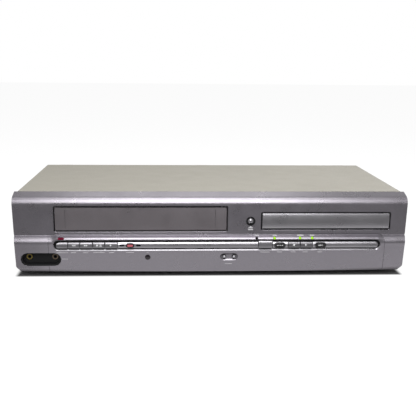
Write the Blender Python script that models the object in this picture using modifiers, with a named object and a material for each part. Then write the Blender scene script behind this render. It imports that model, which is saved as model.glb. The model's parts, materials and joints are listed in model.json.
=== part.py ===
"""Full-width disc and tape player: steel case, moulded front, tape deck and disc loader.

All sizes are in metres. +X is the viewer's right, +Z is up and the front faces -Y. The origin is
at the middle of the footprint, on the surface that the feet stand on.
"""

import math

import bmesh
import bpy
from mathutils import Matrix, Vector

# Overall size
CASE_WIDTH = 0.4385
DATUM_INSET = 0.00175
CASE_DEPTH = 0.234
CASE_HEIGHT = 0.0945

# Fits
SEAT_GAP = 0.0003
SLIDE_GAP = 0.0005
CUT_OVERRUN = 0.002
JOIN_DEPTH = 0.0006
WELD_DISTANCE = 0.00001
PLACE_DECIMALS = 6
FLAT_ANGLE = math.radians(0.2)

# Case
SHEET = 0.0008
PAN_SHEET = 0.001
BEZEL_DEPTH = 0.022
COVER_INSET = 0.0024
COVER_BEND = 0.0025
COVER_HEM = 0.0098
PAN_SIDE_HEIGHT = 0.034
PAN_FRONT_HEIGHT = 0.011
PAN_BACK_HEIGHT = 0.006
PAN_SLOT_LENGTH = 0.030
PAN_SLOT_WIDTH = 0.003
PAN_SLOT_PITCH = 0.009
PAN_SLOT_LEFT_INSET = 0.0975
PAN_SLOT_RIGHT_INSET = 0.0675
PAN_SLOT_Y_INSET = 0.1170
COVER_TAB_WIDTH = 0.016
COVER_TAB_DROP = 0.010
COVER_TAB_INSET = 0.0275
COVER_TAB_MIDDLE_X = -0.003
SCREW_HOLE_RADIUS = 0.0019
CASE_SCREW_DROP = 0.0062

# Feet
FOOT_HEIGHT = 0.0085
FOOT_RADIUS = 0.013
FOOT_PEG_RADIUS = 0.003
FOOT_PEG_RISE = 0.004
FOOT_CHAMFER = 0.0012
FOOT_X_INSET = 0.0455
FOOT_FRONT_Y_INSET = 0.0390
FOOT_REAR_Y_INSET = 0.0295

# Moulded front
FRONT_WALL = 0.0024
LIP_SLOPE_DEGREES = 17
TOP_EDGE_RADIUS = 0.0065
FACE_SETBACK = 0.005
FACE_LEAN = 0.0012
SHOULDER_HEIGHT = 0.0500
SHOULDER_STEP = 0.0007
RIDGE_RADIUS = 0.006
LOWER_LEAN = 0.0045
FRONT_BOTTOM = 0.0061
BOTTOM_BOW = 0.0042
BOTTOM_EDGE = 0.0007
CORNER_CUT_WIDTH = 0.0041
CORNER_CUT_HEIGHT = 0.0067
SHOULDER_SIDE_INSET = 0.0008
RIDGE_SIDE_INSET = 0.0019
SIDE_TAPER = 0.0025
SEAM_LEFT_INSET = 0.0369
SEAM_RIGHT_INSET = 0.0231
FASCIA_TOP = 0.0494
FASCIA_CORNER = 0.008
FLAP_OPEN_LEFT_INSET = 0.0435
FLAP_OPEN_RIGHT_INSET = 0.2345
FLAP_OPEN_BOTTOM = 0.0516
FLAP_OPEN_TOP = 0.0802
OPEN_CORNER = 0.0014
OPEN_CHAMFER = 0.0005
TRAY_OPEN_LEFT_INSET = 0.1622
TRAY_OPEN_RIGHT_INSET = 0.0172
TRAY_OPEN_BOTTOM = 0.0535
TRAY_OPEN_TOP = 0.0732
PANEL_MARGIN = 0.0009

# Button bar and its channel
CHANNEL_LEFT_INSET = 0.0430
CHANNEL_RIGHT_INSET = 0.0281
CHANNEL_MID_HEIGHT = 0.0381
CHANNEL_HALF_HEIGHT = 0.0052
CHANNEL_DEPTH = 0.0054
CHANNEL_FLOOR = 0.002
CHANNEL_CHAMFER = 0.0017
CHANNEL_CHAMFER_LEAST_SHARE = 0.05
BACKING_MARGIN = 0.0026
BAR_LEFT_INSET = 0.0455
BAR_RIGHT_INSET = 0.0307
BAR_MID_HEIGHT = 0.0371
BAR_HALF_HEIGHT = 0.0035
BAR_SETBACK = 0.0012
BAR_WEB = 0.0012
CAP_SETBACK = 0.0006
CAP_DEPTH = 0.0021
CAP_CROWN = 0.0008
CAP_FACE_SHARES = ((-1.0, 1.0), (-0.84, 0.3), (-0.3, 0.0), (0.42, 0.12), (0.85, 0.85), (1.0, 1.2))
CAP_GAP = 0.0007
BUTTON_TRAVEL = 0.001
STEM_WIDTH = 0.003
STEM_REACH = 0.0102
STEM_CLEARANCE = 0.0004
TAPE_KEY_INSETS = {
    "button_rewind": (0.0588, 0.0709),
    "button_fast_forward": (0.0718, 0.0852),
    "button_stop_eject": (0.0861, 0.0984),
    "button_play": (0.0993, 0.1127),
}
DISC_KEY_INSETS = {
    "button_disc_stop": (0.1320, 0.1191),
    "button_disc_play": (0.1182, 0.1053),
}
POWER_LEFT_INSET = 0.0455
POWER_RIGHT_INSET = 0.0579
SOURCE_LEFT_INSET = 0.1654
SOURCE_RIGHT_INSET = 0.1502
SOURCE_HALF_HEIGHT = 0.0043
SOURCE_RISE = 0.0007
SOURCE_SETBACK = 0.0002
RECORD_INSET = 0.1268
DISC_OVAL_INSETS = {"button_disc_menu": 0.1415, "button_disc_skip": 0.0958}
OVAL_HALF_WIDTH = 0.0062
RECORD_HALF_WIDTH = 0.0048
OVAL_HALF_HEIGHT = 0.0027
OVAL_RIM = 0.0006

# Round buttons, windows and jack recess
TRAY_BUTTON_X_INSET = 0.1743
TRAY_BUTTON_HEIGHT = 0.0634
TRAY_BUTTON_RADIUS = 0.0035
TRAY_BUTTON_RING = 0.0052
RING_DEPTH = 0.0008
ROUND_PROUD = 0.0010
ROUND_FLANGE = 0.0008
ROUND_FLANGE_DEPTH = 0.0008
ROUND_FLANGE_GAP = 0.0004
CHANNEL_BUTTON_INSETS = {"button_channel_down": 0.2036, "button_channel_up": 0.1928}
SCOOP_LEFT_INSET = 0.2086
SCOOP_RIGHT_INSET = 0.1878
SCOOP_DEPTH = 0.0014
SCOOP_SLOPE = 0.0018
SCOOP_HALF_HEIGHT = 0.0044
SMALL_ROW_HEIGHT = 0.0234
CHANNEL_BUTTON_RADIUS = 0.00225
IR_X_INSET = 0.1461
IR_RADIUS = 0.0028
IR_LENGTH = 0.0060
IR_CROWN = 0.0005
POWER_LENS_LEFT_INSET = 0.0475
POWER_LENS_RIGHT_INSET = 0.0545
LENS_MID_HEIGHT = 0.0451
LENS_HALF_HEIGHT = 0.0011
LENS_SETBACK = 0.0004
LENS_REACH = 0.0085
LAMP_X_INSETS = (0.1678, 0.1478, 0.1192, 0.1055)
LAMP_RADIUS = 0.0013
GUIDE_BAR_DEPTH = 0.002
GUIDE_BAR_HALF_HEIGHT = 0.002
JACK_LEFT_INSET = 0.0065
JACK_RIGHT_INSET = 0.0505
JACK_MID_HEIGHT = 0.0211
JACK_HALF_HEIGHT = 0.0072
JACK_SOCKET_RISE = 0.0012
JACK_SETBACK = 0.0042
JACK_DEPTH = 0.0125
JACK_CUP_WALL = 0.0012
JACK_SOCKET_X_INSETS = (0.0145, 0.0429)
SOCKET_RADIUS = 0.0036
SOCKET_BORE = 0.0017
SOCKET_PROUD = 0.0012
SOCKET_BORE_DEPTH = 0.008
SOCKET_HOLE_CLEARANCE = 0.0004
JACK_BLOCK_DEPTH = 0.006
JACK_BLOCK_INSET = 0.003

# Switch board behind the front
BOARD = 0.0016
SWITCH_SIZE = 0.006
SWITCH_BOARD_LEFT_INSET = 0.0390
SWITCH_BOARD_RIGHT_INSET = 0.0295
SWITCH_BOARD_BOTTOM = 0.016
SWITCH_BOARD_TOP = 0.044
SWITCH_BOARD_NOTCH_X_INSET = 0.0575
SWITCH_BOARD_NOTCH_HEIGHT = 0.031
SWITCH_TAB_HALF_WIDTH = 0.007
SWITCH_TAB_RISE = 0.006
SWITCH_BODY = 0.0016
BOARD_BOSS_LEFT_INSET = 0.1575
BOARD_BOSS_RIGHT_INSETS = (0.1975, 0.0675)
BOARD_BOSS_RADIUS = 0.003

# Cassette door
DOOR_THICKNESS = 0.0022
DOOR_AXIS_SETBACK = 0.0101
DOOR_AXIS_HEIGHT = 0.0826
DOOR_SETBACK = 0.0003
DOOR_CROWN = 0.0004
DOOR_ARM = 0.002
DOOR_ARM_INSET = 0.002
DOOR_ARM_HALF = 0.0016
DOOR_ARM_DROP = 0.011
DOOR_PIN_RADIUS = 0.0011
DOOR_EAR = 0.0026
DOOR_EAR_HALF = 0.0034
DOOR_GROOVE_INSETS = (0.0122, 0.0134)
DOOR_GROOVE_WIDTH = 0.0007
DOOR_GROOVE_DEPTH = 0.0004
DOOR_GROOVE_MARGIN = 0.003

# Tape deck
DECK_PLATE_Z = 0.0270
DECK_SHEET = 0.0012
DECK_MARGIN = 0.0094
DECK_FRONT_INSET = 0.0330
DECK_BACK_INSET = 0.0250
DECK_FLANGE = 0.006
POST_RADIUS = 0.0035
DECK_POST_INSET = 0.014
FRAME_SIDE_MARGIN = 0.0026
FRAME_FRONT_INSET = 0.0370
FRAME_BACK_INSET = 0.1510
FRAME_TOP = 0.0885
FRAME_FOOT = 0.006
FRAME_BRIDGE_WIDTH = 0.024
FRAME_BRIDGE_Y_INSET = 0.0990
SLIDER_FRONT_INSET = 0.0410
SLIDER_LENGTH = 0.038
SLIDER_BOTTOM = 0.042
SLIDER_TOP = 0.0838
SLIDER_BAR_WIDTH = 0.016
GUIDE_PIN_RADIUS = 0.002
GUIDE_PIN_HEIGHT = 0.077
GUIDE_PIN_INSET = 0.006
HOLDER_TRAVEL = 0.048
HOLDER_DROP = 0.024
HOLDER_BOTTOM = 0.0532
HOLDER_TOP = 0.0805
HOLDER_LENGTH = 0.044
HOLDER_SHEET = 0.001
HOLDER_LIP = 0.012
HOLDER_PIN_HEIGHT = 0.072
HOLDER_FRONT_INSET = 0.0415
HOLDER_WINDOW_INSET = 0.030
HOLDER_WINDOW_MARGIN = 0.012
REEL_SPACING = 0.092
REEL_Y_INSET = 0.0750
REEL_RADIUS = 0.019
REEL_BASE = 0.003
REEL_HUB_RADIUS = 0.0105
REEL_HEIGHT = 0.015
REEL_NOSE_RADIUS = 0.005
REEL_PIN_RADIUS = 0.002
REEL_FIN = 0.0016
REEL_FIN_REACH = 0.0018
REEL_FIN_COUNT = 3
DRUM_OFFSET = 0.0095
DRUM_Y_INSET = 0.1690
DRUM_RADIUS = 0.031
DRUM_TILT = math.radians(5.9)
DRUM_BASE_REACH = 0.006
DRUM_SPLIT_REACH = 0.024
DRUM_TOP_REACH = 0.040
DRUM_CAP_REACH = 0.043
DRUM_CAP_RADIUS = 0.012
DRUM_PLINTH_RADIUS = 0.022
DRUM_EDGE = 0.001
CAPSTAN_OFFSET = 0.0535
CAPSTAN_Y_INSET = 0.1450
CAPSTAN_RADIUS = 0.002
CAPSTAN_TOP = 0.060
FLYWHEEL_RADIUS = 0.025
FLYWHEEL_BOTTOM = 0.018
FLYWHEEL_THICKNESS = 0.0055
BEARING_RADIUS = 0.005
BEARING_HEIGHT = 0.0075
PINCH_PIVOT_OFFSET = 0.0825
PINCH_PIVOT_Y_INSET = 0.1670
PINCH_CONTACT_ANGLE = math.radians(30)
PINCH_SWING = math.radians(25)
PINCH_ROLLER_RADIUS = 0.007
PINCH_ROLLER_BORE = 0.0018
PINCH_PIN_RADIUS = 0.0015
PINCH_ARM_BOTTOM = 0.034
PINCH_ARM_THICKNESS = 0.002
PINCH_ARM_HALF_WIDTH = 0.004
PINCH_ROLLER_HEIGHT = 0.014
TAPE_GUIDE_X_OFFSET = 0.034
TAPE_GUIDE_Y_INSET = 0.1400
TAPE_GUIDE_SPREAD = 0.007
TAPE_GUIDE_RUN = 0.034
TAPE_GUIDE_WIDTH = 0.012
TAPE_GUIDE_BASE = 0.004
TAPE_GUIDE_RADIUS = 0.003
TAPE_GUIDE_TOP = 0.066
TAPE_GUIDE_TONGUE = 0.004
TAPE_GUIDE_TONGUE_DROP = 0.0015

# Disc loader
TRAY_SIDE_MARGIN = 0.0070
TRAY_FRONT_INSET = 0.0082
TRAY_BACK_INSET = 0.1920
TRAY_TOP = 0.068
TRAY_BOTTOM = 0.0615
TRAY_TRAVEL = 0.135
TRAY_RAIL = 0.002
TRAY_RAIL_BOTTOM = 0.060
TRAY_CORNER = 0.006
DISC_Y_INSET = 0.0770
DISC_WELL_RADIUS = 0.061
DISC_WELL_FLOOR = 0.0640
SMALL_WELL_RADIUS = 0.041
SMALL_WELL_STEP = 0.0008
TRAY_SLOT_HALF = 0.0225
TRAY_FACE_THICKNESS = 0.0024
TRAY_FACE_CROWN = 0.0010
TRAY_FACE_EDGE = 0.0010
RACK_INSET = 0.004
RACK_BODY = 0.0045
RACK_BOTTOM = 0.0573
RACK_FRONT_INSET = 0.0230
RACK_BACK_INSET = 0.1830
GEAR_MODULE = 0.00125
PRESSURE_ANGLE = math.radians(25)
TOOTH_BACKLASH = 0.00030
DEDENDUM_SHARE = 1.25
DRIVE_TEETH = 16
PINION_TEETH = 12
DRIVE_Y_INSET = 0.0370
GEAR_BOTTOM = 0.0574
GEAR_TOP = 0.0611
GEAR_HUB_RADIUS = 0.0035
GEAR_PIN_RADIUS = 0.0015
GEAR_BORE = 0.0018
PULLEY_RADIUS = 0.011
PULLEY_BOTTOM = 0.0530
PULLEY_TOP = 0.0562
LOADER_BASE_BOTTOM = 0.050
LOADER_BASE_TOP = 0.052
LOADER_WALL = 0.002
LOADER_WALL_TOP = 0.070
LOADER_FRONT_INSET = 0.0250
LOADER_BACK_INSET = 0.1970
LOADER_SIDE_GAP = 0.0007
LEDGE_REACH = 0.0037
LEDGE_THICKNESS = 0.0023
TAB_REACH = 0.002
TAB_LENGTH = 0.014
TAB_THICKNESS = 0.0016
TAB_Y_INSETS = (0.0470, 0.1170, 0.1790)
LEG_SIZE = 0.008
LEG_FRONT_Y_INSET = 0.0310
LEG_BACK_Y_INSET = 0.1910
WELL_HALF_WIDTH = 0.036
WELL_FRONT_INSET = 0.0510
WELL_BACK_INSET = 0.1710
LOADER_MOTOR_OFFSET = 0.0012
LOADER_MOTOR_Y_INSET = 0.0375
LOADER_MOTOR_RADIUS = 0.0115
LOADER_MOTOR_LENGTH = 0.017
MOTOR_SHAFT_RADIUS = 0.001
MOTOR_PULLEY_RADIUS = 0.0032
MOTOR_HOLE_RADIUS = 0.0045
BELT_THICKNESS = 0.001
BELT_BOTTOM = 0.0538
BELT_TOP = 0.0554
TRAVERSE_RIM = 0.013
SLED_WELL_FRONT_INSET = 0.0930
SLED_WELL_BACK_INSET = 0.1630
ROD_X = 0.026
ROD_RADIUS = 0.0015
ROD_HEIGHT = 0.0552
ROD_LUG = 0.003
ROD_LUG_HALF = 0.003
SLED_HALF_WIDTH = 0.020
SLED_HALF_LENGTH = 0.012
SLED_BOTTOM = 0.0505
SLED_TOP = 0.0585
SLED_Y_INSET = 0.1065
SLED_ARM_HALF = 0.0085
SLED_TRAVEL = 0.034
LENS_RADIUS = 0.0045
LENS_TOP = 0.0612
LENS_OFFSET = -0.0065
SPINDLE_CAN_RADIUS = 0.0125
SPINDLE_CAN_TOP = 0.0580
TURNTABLE_RADIUS = 0.015
TURNTABLE_SEAT = 0.0652
TURNTABLE_THICKNESS = 0.0025
CONE_RADIUS = 0.0073
CONE_TOP_RADIUS = 0.004
CONE_TOP = 0.0676
TURNTABLE_NECK = 0.005
BRIDGE_BOTTOM = 0.0742
BRIDGE_THICKNESS = 0.002
BRIDGE_HALF_LENGTH = 0.022
PUCK_RADIUS = 0.014
PUCK_BOTTOM = 0.0683
PUCK_PLATE = 0.002
PUCK_NECK_RADIUS = 0.0085
PUCK_HOLE_GAP = 0.0005
PUCK_FLANGE_RADIUS = 0.0115
PUCK_FLANGE = 0.0015

# Boards and rear sockets
JACK_REACH = 0.008
MAIN_BOARD_Z = 0.0137
MAIN_BOARD_LEFT_INSET = 0.0225
MAIN_BOARD_RIGHT_INSET = 0.0125
MAIN_BOARD_BACK_INSET = 0.0105
MAIN_BOARD_LEFT_FRONT_INSET = 0.0315
MAIN_BOARD_RIGHT_FRONT_INSET = 0.0330
MAIN_BOARD_TAB_LEFT_INSET = 0.0575
MAIN_BOARD_TAB_RIGHT_INSET = 0.2135
MAIN_BOARD_TAB_FRONT_INSET = 0.1270
BOARD_POST_LEFT_INSETS = (0.0325, 0.1875)
BOARD_POST_RIGHT_INSETS = (0.1075, 0.0225)
BOARD_POST_REAR_INSET = 0.017
TAB_POST_INSET = 0.1355
TAB_POST_REACH = 0.137
TRANSFORMER_X_INSET = 0.0475
TRANSFORMER_SIZE = (0.036, 0.016, 0.030)
CAPACITOR_X_INSETS = (0.1335, 0.1115, 0.0895)
CAPACITOR_RADIUS = 0.0075
CAPACITOR_HEIGHT = 0.028
HEATSINK_X_INSET = 0.1575
HEATSINK_SIZE = (0.022, 0.003, 0.034)
PARTS_ROW_Y_INSET = 0.0205
JACK_BLOCK_LEFT_INSET = 0.1055
JACK_BLOCK_RIGHT_INSET = 0.2635
JACK_BLOCK_BOTTOM = 0.0156
JACK_BLOCK_TOP = 0.074
JACK_BLOCK_FRONT_INSET = 0.0200
JACK_WINDOW_BOTTOM = 0.024
REAR_JACK_INSET = 0.0120
REAR_JACK_PITCH = 0.022
REAR_JACK_COLUMNS = 6
REAR_JACK_ROWS = (0.036, 0.060)
REAR_JACK_RADIUS = 0.0042
REAR_JACK_BORE = 0.0016
REAR_BORE_DEPTH = 0.007
VIDEO_SOCKET_INSET = 0.0130
VIDEO_SOCKET_RADIUS = 0.0048
VIDEO_SOCKET_DEPTH = 0.005
TUNER_LEFT_INSET = 0.0455
TUNER_RIGHT_INSET = 0.0715
TUNER_BOTTOM = 0.0156
TUNER_TOP = 0.072
TUNER_FRONT_INSET = 0.0230
AERIAL_HEIGHTS = (0.034, 0.058)
AERIAL_RADIUS = 0.0047
AERIAL_NUT_RADIUS = 0.007
AERIAL_NUT = 0.002
AERIAL_TIP_SETBACK = 0.0006
GROMMET_X_INSET = 0.0295
GROMMET_HEIGHT = 0.032
GROMMET_NECK = 0.0057
GROMMET_FLANGE = 0.008
GROMMET_BORE = 0.0034
GROMMET_OUTER = 0.0024
GROMMET_INNER = 0.0020
VENT_X_INSET = 0.0975
VENT_COUNT = 10
VENT_PITCH = 0.008
VENT_WIDTH = 0.003
VENT_BOTTOM = 0.040
VENT_TOP = 0.074

# Facets
ROUND_SIDES = 24
SMALL_SIDES = 12
TINY_SIDES = 10
ARC_STEPS = 4
BEZEL_ARC_STEPS = 7
BOW_STEPS = 12
SHARP_ANGLE = math.radians(32)

# Places worked out from the sizes above
FRONT_Y = -CASE_DEPTH / 2
BACK_Y = CASE_DEPTH / 2
LEFT_X = DATUM_INSET - CASE_WIDTH / 2
RIGHT_X = CASE_WIDTH / 2 - DATUM_INSET
SEAM_LEFT = LEFT_X + SEAM_LEFT_INSET
FLAP_OPEN_LEFT = LEFT_X + FLAP_OPEN_LEFT_INSET
FLAP_OPEN_RIGHT = LEFT_X + FLAP_OPEN_RIGHT_INSET
CHANNEL_LEFT = LEFT_X + CHANNEL_LEFT_INSET
BAR_LEFT = LEFT_X + BAR_LEFT_INSET
POWER_LEFT = LEFT_X + POWER_LEFT_INSET
POWER_RIGHT = LEFT_X + POWER_RIGHT_INSET
POWER_LENS_LEFT = LEFT_X + POWER_LENS_LEFT_INSET
POWER_LENS_RIGHT = LEFT_X + POWER_LENS_RIGHT_INSET
IR_X = LEFT_X + IR_X_INSET
JACK_LEFT = LEFT_X + JACK_LEFT_INSET
JACK_RIGHT = LEFT_X + JACK_RIGHT_INSET
SWITCH_BOARD_LEFT = LEFT_X + SWITCH_BOARD_LEFT_INSET
SWITCH_BOARD_NOTCH_X = LEFT_X + SWITCH_BOARD_NOTCH_X_INSET
MAIN_BOARD_LEFT = LEFT_X + MAIN_BOARD_LEFT_INSET
MAIN_BOARD_TAB_LEFT = LEFT_X + MAIN_BOARD_TAB_LEFT_INSET
MAIN_BOARD_TAB_RIGHT = LEFT_X + MAIN_BOARD_TAB_RIGHT_INSET
JACK_BLOCK_LEFT = LEFT_X + JACK_BLOCK_LEFT_INSET
JACK_BLOCK_RIGHT = LEFT_X + JACK_BLOCK_RIGHT_INSET
TUNER_LEFT = LEFT_X + TUNER_LEFT_INSET
TUNER_RIGHT = LEFT_X + TUNER_RIGHT_INSET
SEAM_RIGHT = RIGHT_X - SEAM_RIGHT_INSET
TRAY_OPEN_LEFT = RIGHT_X - TRAY_OPEN_LEFT_INSET
TRAY_OPEN_RIGHT = RIGHT_X - TRAY_OPEN_RIGHT_INSET
CHANNEL_RIGHT = RIGHT_X - CHANNEL_RIGHT_INSET
BAR_RIGHT = RIGHT_X - BAR_RIGHT_INSET
SOURCE_LEFT = RIGHT_X - SOURCE_LEFT_INSET
SOURCE_RIGHT = RIGHT_X - SOURCE_RIGHT_INSET
TRAY_BUTTON_X = RIGHT_X - TRAY_BUTTON_X_INSET
SCOOP_LEFT = RIGHT_X - SCOOP_LEFT_INSET
SCOOP_RIGHT = RIGHT_X - SCOOP_RIGHT_INSET
SWITCH_BOARD_RIGHT = RIGHT_X - SWITCH_BOARD_RIGHT_INSET
MAIN_BOARD_RIGHT = RIGHT_X - MAIN_BOARD_RIGHT_INSET
TRANSFORMER_X = RIGHT_X - TRANSFORMER_X_INSET
HEATSINK_X = RIGHT_X - HEATSINK_X_INSET
GROMMET_X = RIGHT_X - GROMMET_X_INSET
VENT_X = RIGHT_X - VENT_X_INSET
FOOT_X = RIGHT_X - FOOT_X_INSET
JACK_SOCKET_X = tuple(LEFT_X + inset for inset in JACK_SOCKET_X_INSETS)
LAMP_X = tuple(RIGHT_X - inset for inset in LAMP_X_INSETS)
CAPACITOR_X = tuple(RIGHT_X - inset for inset in CAPACITOR_X_INSETS)
FOOT_FRONT_Y = FRONT_Y + FOOT_FRONT_Y_INSET
DECK_FRONT = FRONT_Y + DECK_FRONT_INSET
FRAME_FRONT = FRONT_Y + FRAME_FRONT_INSET
SLIDER_FRONT = FRONT_Y + SLIDER_FRONT_INSET
HOLDER_FRONT = FRONT_Y + HOLDER_FRONT_INSET
REEL_Y = FRONT_Y + REEL_Y_INSET
DRUM_Y = FRONT_Y + DRUM_Y_INSET
CAPSTAN_Y = FRONT_Y + CAPSTAN_Y_INSET
PINCH_PIVOT_Y = FRONT_Y + PINCH_PIVOT_Y_INSET
TAPE_GUIDE_Y = FRONT_Y + TAPE_GUIDE_Y_INSET
FRAME_BACK = FRONT_Y + FRAME_BACK_INSET
FRAME_BRIDGE_Y = FRONT_Y + FRAME_BRIDGE_Y_INSET
PAN_SLOT_Y = FRONT_Y + PAN_SLOT_Y_INSET
TRAY_FRONT = FRONT_Y + TRAY_FRONT_INSET
TRAY_BACK = FRONT_Y + TRAY_BACK_INSET
DISC_Y = FRONT_Y + DISC_Y_INSET
RACK_FRONT = FRONT_Y + RACK_FRONT_INSET
RACK_BACK = FRONT_Y + RACK_BACK_INSET
DRIVE_Y = FRONT_Y + DRIVE_Y_INSET
LOADER_FRONT = FRONT_Y + LOADER_FRONT_INSET
LOADER_BACK = FRONT_Y + LOADER_BACK_INSET
LEG_FRONT_Y = FRONT_Y + LEG_FRONT_Y_INSET
LEG_BACK_Y = FRONT_Y + LEG_BACK_Y_INSET
WELL_FRONT = FRONT_Y + WELL_FRONT_INSET
WELL_BACK = FRONT_Y + WELL_BACK_INSET
LOADER_MOTOR_Y = FRONT_Y + LOADER_MOTOR_Y_INSET
SLED_WELL_FRONT = FRONT_Y + SLED_WELL_FRONT_INSET
SLED_WELL_BACK = FRONT_Y + SLED_WELL_BACK_INSET
SLED_Y = FRONT_Y + SLED_Y_INSET
MAIN_BOARD_TAB_FRONT = FRONT_Y + MAIN_BOARD_TAB_FRONT_INSET
TAB_Y = tuple(FRONT_Y + inset for inset in TAB_Y_INSETS)
FOOT_REAR_Y = BACK_Y - FOOT_REAR_Y_INSET
DECK_BACK = BACK_Y - DECK_BACK_INSET
MAIN_BOARD_BACK = BACK_Y - MAIN_BOARD_BACK_INSET
MAIN_BOARD_LEFT_FRONT = BACK_Y - MAIN_BOARD_LEFT_FRONT_INSET
MAIN_BOARD_RIGHT_FRONT = BACK_Y - MAIN_BOARD_RIGHT_FRONT_INSET
PARTS_ROW_Y = BACK_Y - PARTS_ROW_Y_INSET
TUNER_FRONT = BACK_Y - TUNER_FRONT_INSET
JACK_BLOCK_FRONT = BACK_Y - JACK_BLOCK_FRONT_INSET
BAR_BUTTONS = {name: (LEFT_X + near, LEFT_X + far) for name, (near, far) in TAPE_KEY_INSETS.items()}
BAR_BUTTONS |= {name: (RIGHT_X - far, RIGHT_X - near) for name, (far, near) in DISC_KEY_INSETS.items()}
OVAL_BUTTONS = {"button_record": LEFT_X + RECORD_INSET}
OVAL_BUTTONS |= {name: RIGHT_X - inset for name, inset in DISC_OVAL_INSETS.items()}
CHANNEL_BUTTONS = {name: RIGHT_X - inset for name, inset in CHANNEL_BUTTON_INSETS.items()}
COVER_TAB_X = (LEFT_X + COVER_TAB_INSET, COVER_TAB_MIDDLE_X, RIGHT_X - COVER_TAB_INSET)
PAN_SLOT_X = (LEFT_X + PAN_SLOT_LEFT_INSET, RIGHT_X - PAN_SLOT_RIGHT_INSET)
BOARD_BOSS_X = [LEFT_X + BOARD_BOSS_LEFT_INSET] + [RIGHT_X - inset for inset in BOARD_BOSS_RIGHT_INSETS]
DOOR_GROOVE_X = (FLAP_OPEN_LEFT + DOOR_GROOVE_INSETS[0], FLAP_OPEN_RIGHT - DOOR_GROOVE_INSETS[1])
BOARD_POST_Y = BACK_Y - BOARD_POST_REAR_INSET
BOARD_POSTS = [(LEFT_X + inset, BOARD_POST_Y) for inset in BOARD_POST_LEFT_INSETS]
BOARD_POSTS += [(RIGHT_X - inset, BOARD_POST_Y) for inset in BOARD_POST_RIGHT_INSETS]
BOARD_POSTS += [(LEFT_X + TAB_POST_INSET, FRONT_Y + TAB_POST_REACH)]
DECK_X = (FLAP_OPEN_LEFT + FLAP_OPEN_RIGHT) / 2
FRAME_HALF = (FLAP_OPEN_RIGHT - FLAP_OPEN_LEFT) / 2 + FRAME_SIDE_MARGIN
DECK_HALF_WIDTH = FRAME_HALF + DECK_MARGIN
DRUM_X = DECK_X - DRUM_OFFSET
CAPSTAN_X = DECK_X + CAPSTAN_OFFSET
PINCH_PIVOT_X = DECK_X + PINCH_PIVOT_OFFSET
LOADER_X = (TRAY_OPEN_LEFT + TRAY_OPEN_RIGHT) / 2
TRAY_HALF_WIDTH = (TRAY_OPEN_RIGHT - TRAY_OPEN_LEFT) / 2 - TRAY_SIDE_MARGIN
LOADER_MOTOR_X = LOADER_X + LOADER_MOTOR_OFFSET
REAR_JACK_X = JACK_BLOCK_LEFT + REAR_JACK_INSET
VIDEO_SOCKET_X = JACK_BLOCK_RIGHT - VIDEO_SOCKET_INSET
BEZEL_BACK = FRONT_Y + BEZEL_DEPTH
FACE_Y = FRONT_Y + FACE_SETBACK
LIP_HEIGHT = CASE_HEIGHT - SEAT_GAP
LIP_SLOPE = math.radians(LIP_SLOPE_DEGREES)
LIP_RUN = BEZEL_BACK - FACE_Y - TOP_EDGE_RADIUS * (1 - math.sin(LIP_SLOPE))
TOP_EDGE_HEIGHT = LIP_HEIGHT - LIP_RUN * math.tan(LIP_SLOPE) - TOP_EDGE_RADIUS * math.cos(LIP_SLOPE)
REAR_Y = BACK_Y - JACK_REACH
COVER_HALF = CASE_WIDTH / 2 - COVER_INSET
PAN_HALF = COVER_HALF - SHEET - SEAT_GAP
PAN_FRONT = BEZEL_BACK + SLIDE_GAP
PAN_BACK = REAR_Y - SHEET - SEAT_GAP
PAN_TOP = FOOT_HEIGHT + PAN_SHEET
RIDGE_HEIGHT = SHOULDER_HEIGHT - SHOULDER_STEP - RIDGE_RADIUS
CHANNEL_FLOOR_Y = FRONT_Y + CHANNEL_DEPTH
WEB_BACK = CHANNEL_FLOOR_Y - SEAT_GAP
WEB_FRONT = WEB_BACK - BAR_WEB
STEM_END = FRONT_Y + STEM_REACH
SWITCH_FRONT = STEM_END + BUTTON_TRAVEL + SEAT_GAP
BOARD_FRONT = SWITCH_FRONT + SWITCH_BODY
DOOR_AXIS_Y = FRONT_Y + DOOR_AXIS_SETBACK
DECK_TOP = DECK_PLATE_Z + DECK_SHEET
SLIDER_HALF = FRAME_HALF - SLIDE_GAP
HOLDER_HALF = SLIDER_HALF - HOLDER_SHEET - SEAT_GAP
LOADER_INNER = TRAY_HALF_WIDTH + TRAY_RAIL + LOADER_SIDE_GAP
LOADER_OUTER = LOADER_INNER + LOADER_WALL
RACK_LEFT = LOADER_X - TRAY_HALF_WIDTH + RACK_INSET
RACK_PITCH_X = RACK_LEFT + RACK_BODY
DRIVE_X = RACK_PITCH_X + GEAR_MODULE * DRIVE_TEETH / 2
PULLEY_X = DRIVE_X + GEAR_MODULE * (DRIVE_TEETH + PINION_TEETH) / 2
MAIN_BOARD_TOP = MAIN_BOARD_Z + BOARD

for old in list(bpy.data.objects):
    bpy.data.objects.remove(old)

PARTS = bpy.data.collections.new("disc_tape_player")
CUTTERS = bpy.data.collections.new("cutters")
bpy.context.scene.collection.children.link(PARTS)
bpy.context.scene.collection.children.link(CUTTERS)


def material(name, colour, roughness, metallic=0.0):
    surface = bpy.data.materials.new(name)
    surface.use_nodes = True
    surface.diffuse_color = (*colour, 1.0)
    shader = surface.node_tree.nodes["Principled BSDF"]
    shader.inputs["Base Color"].default_value = (*colour, 1.0)
    shader.inputs["Roughness"].default_value = roughness
    shader.inputs["Metallic"].default_value = metallic
    return surface


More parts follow.
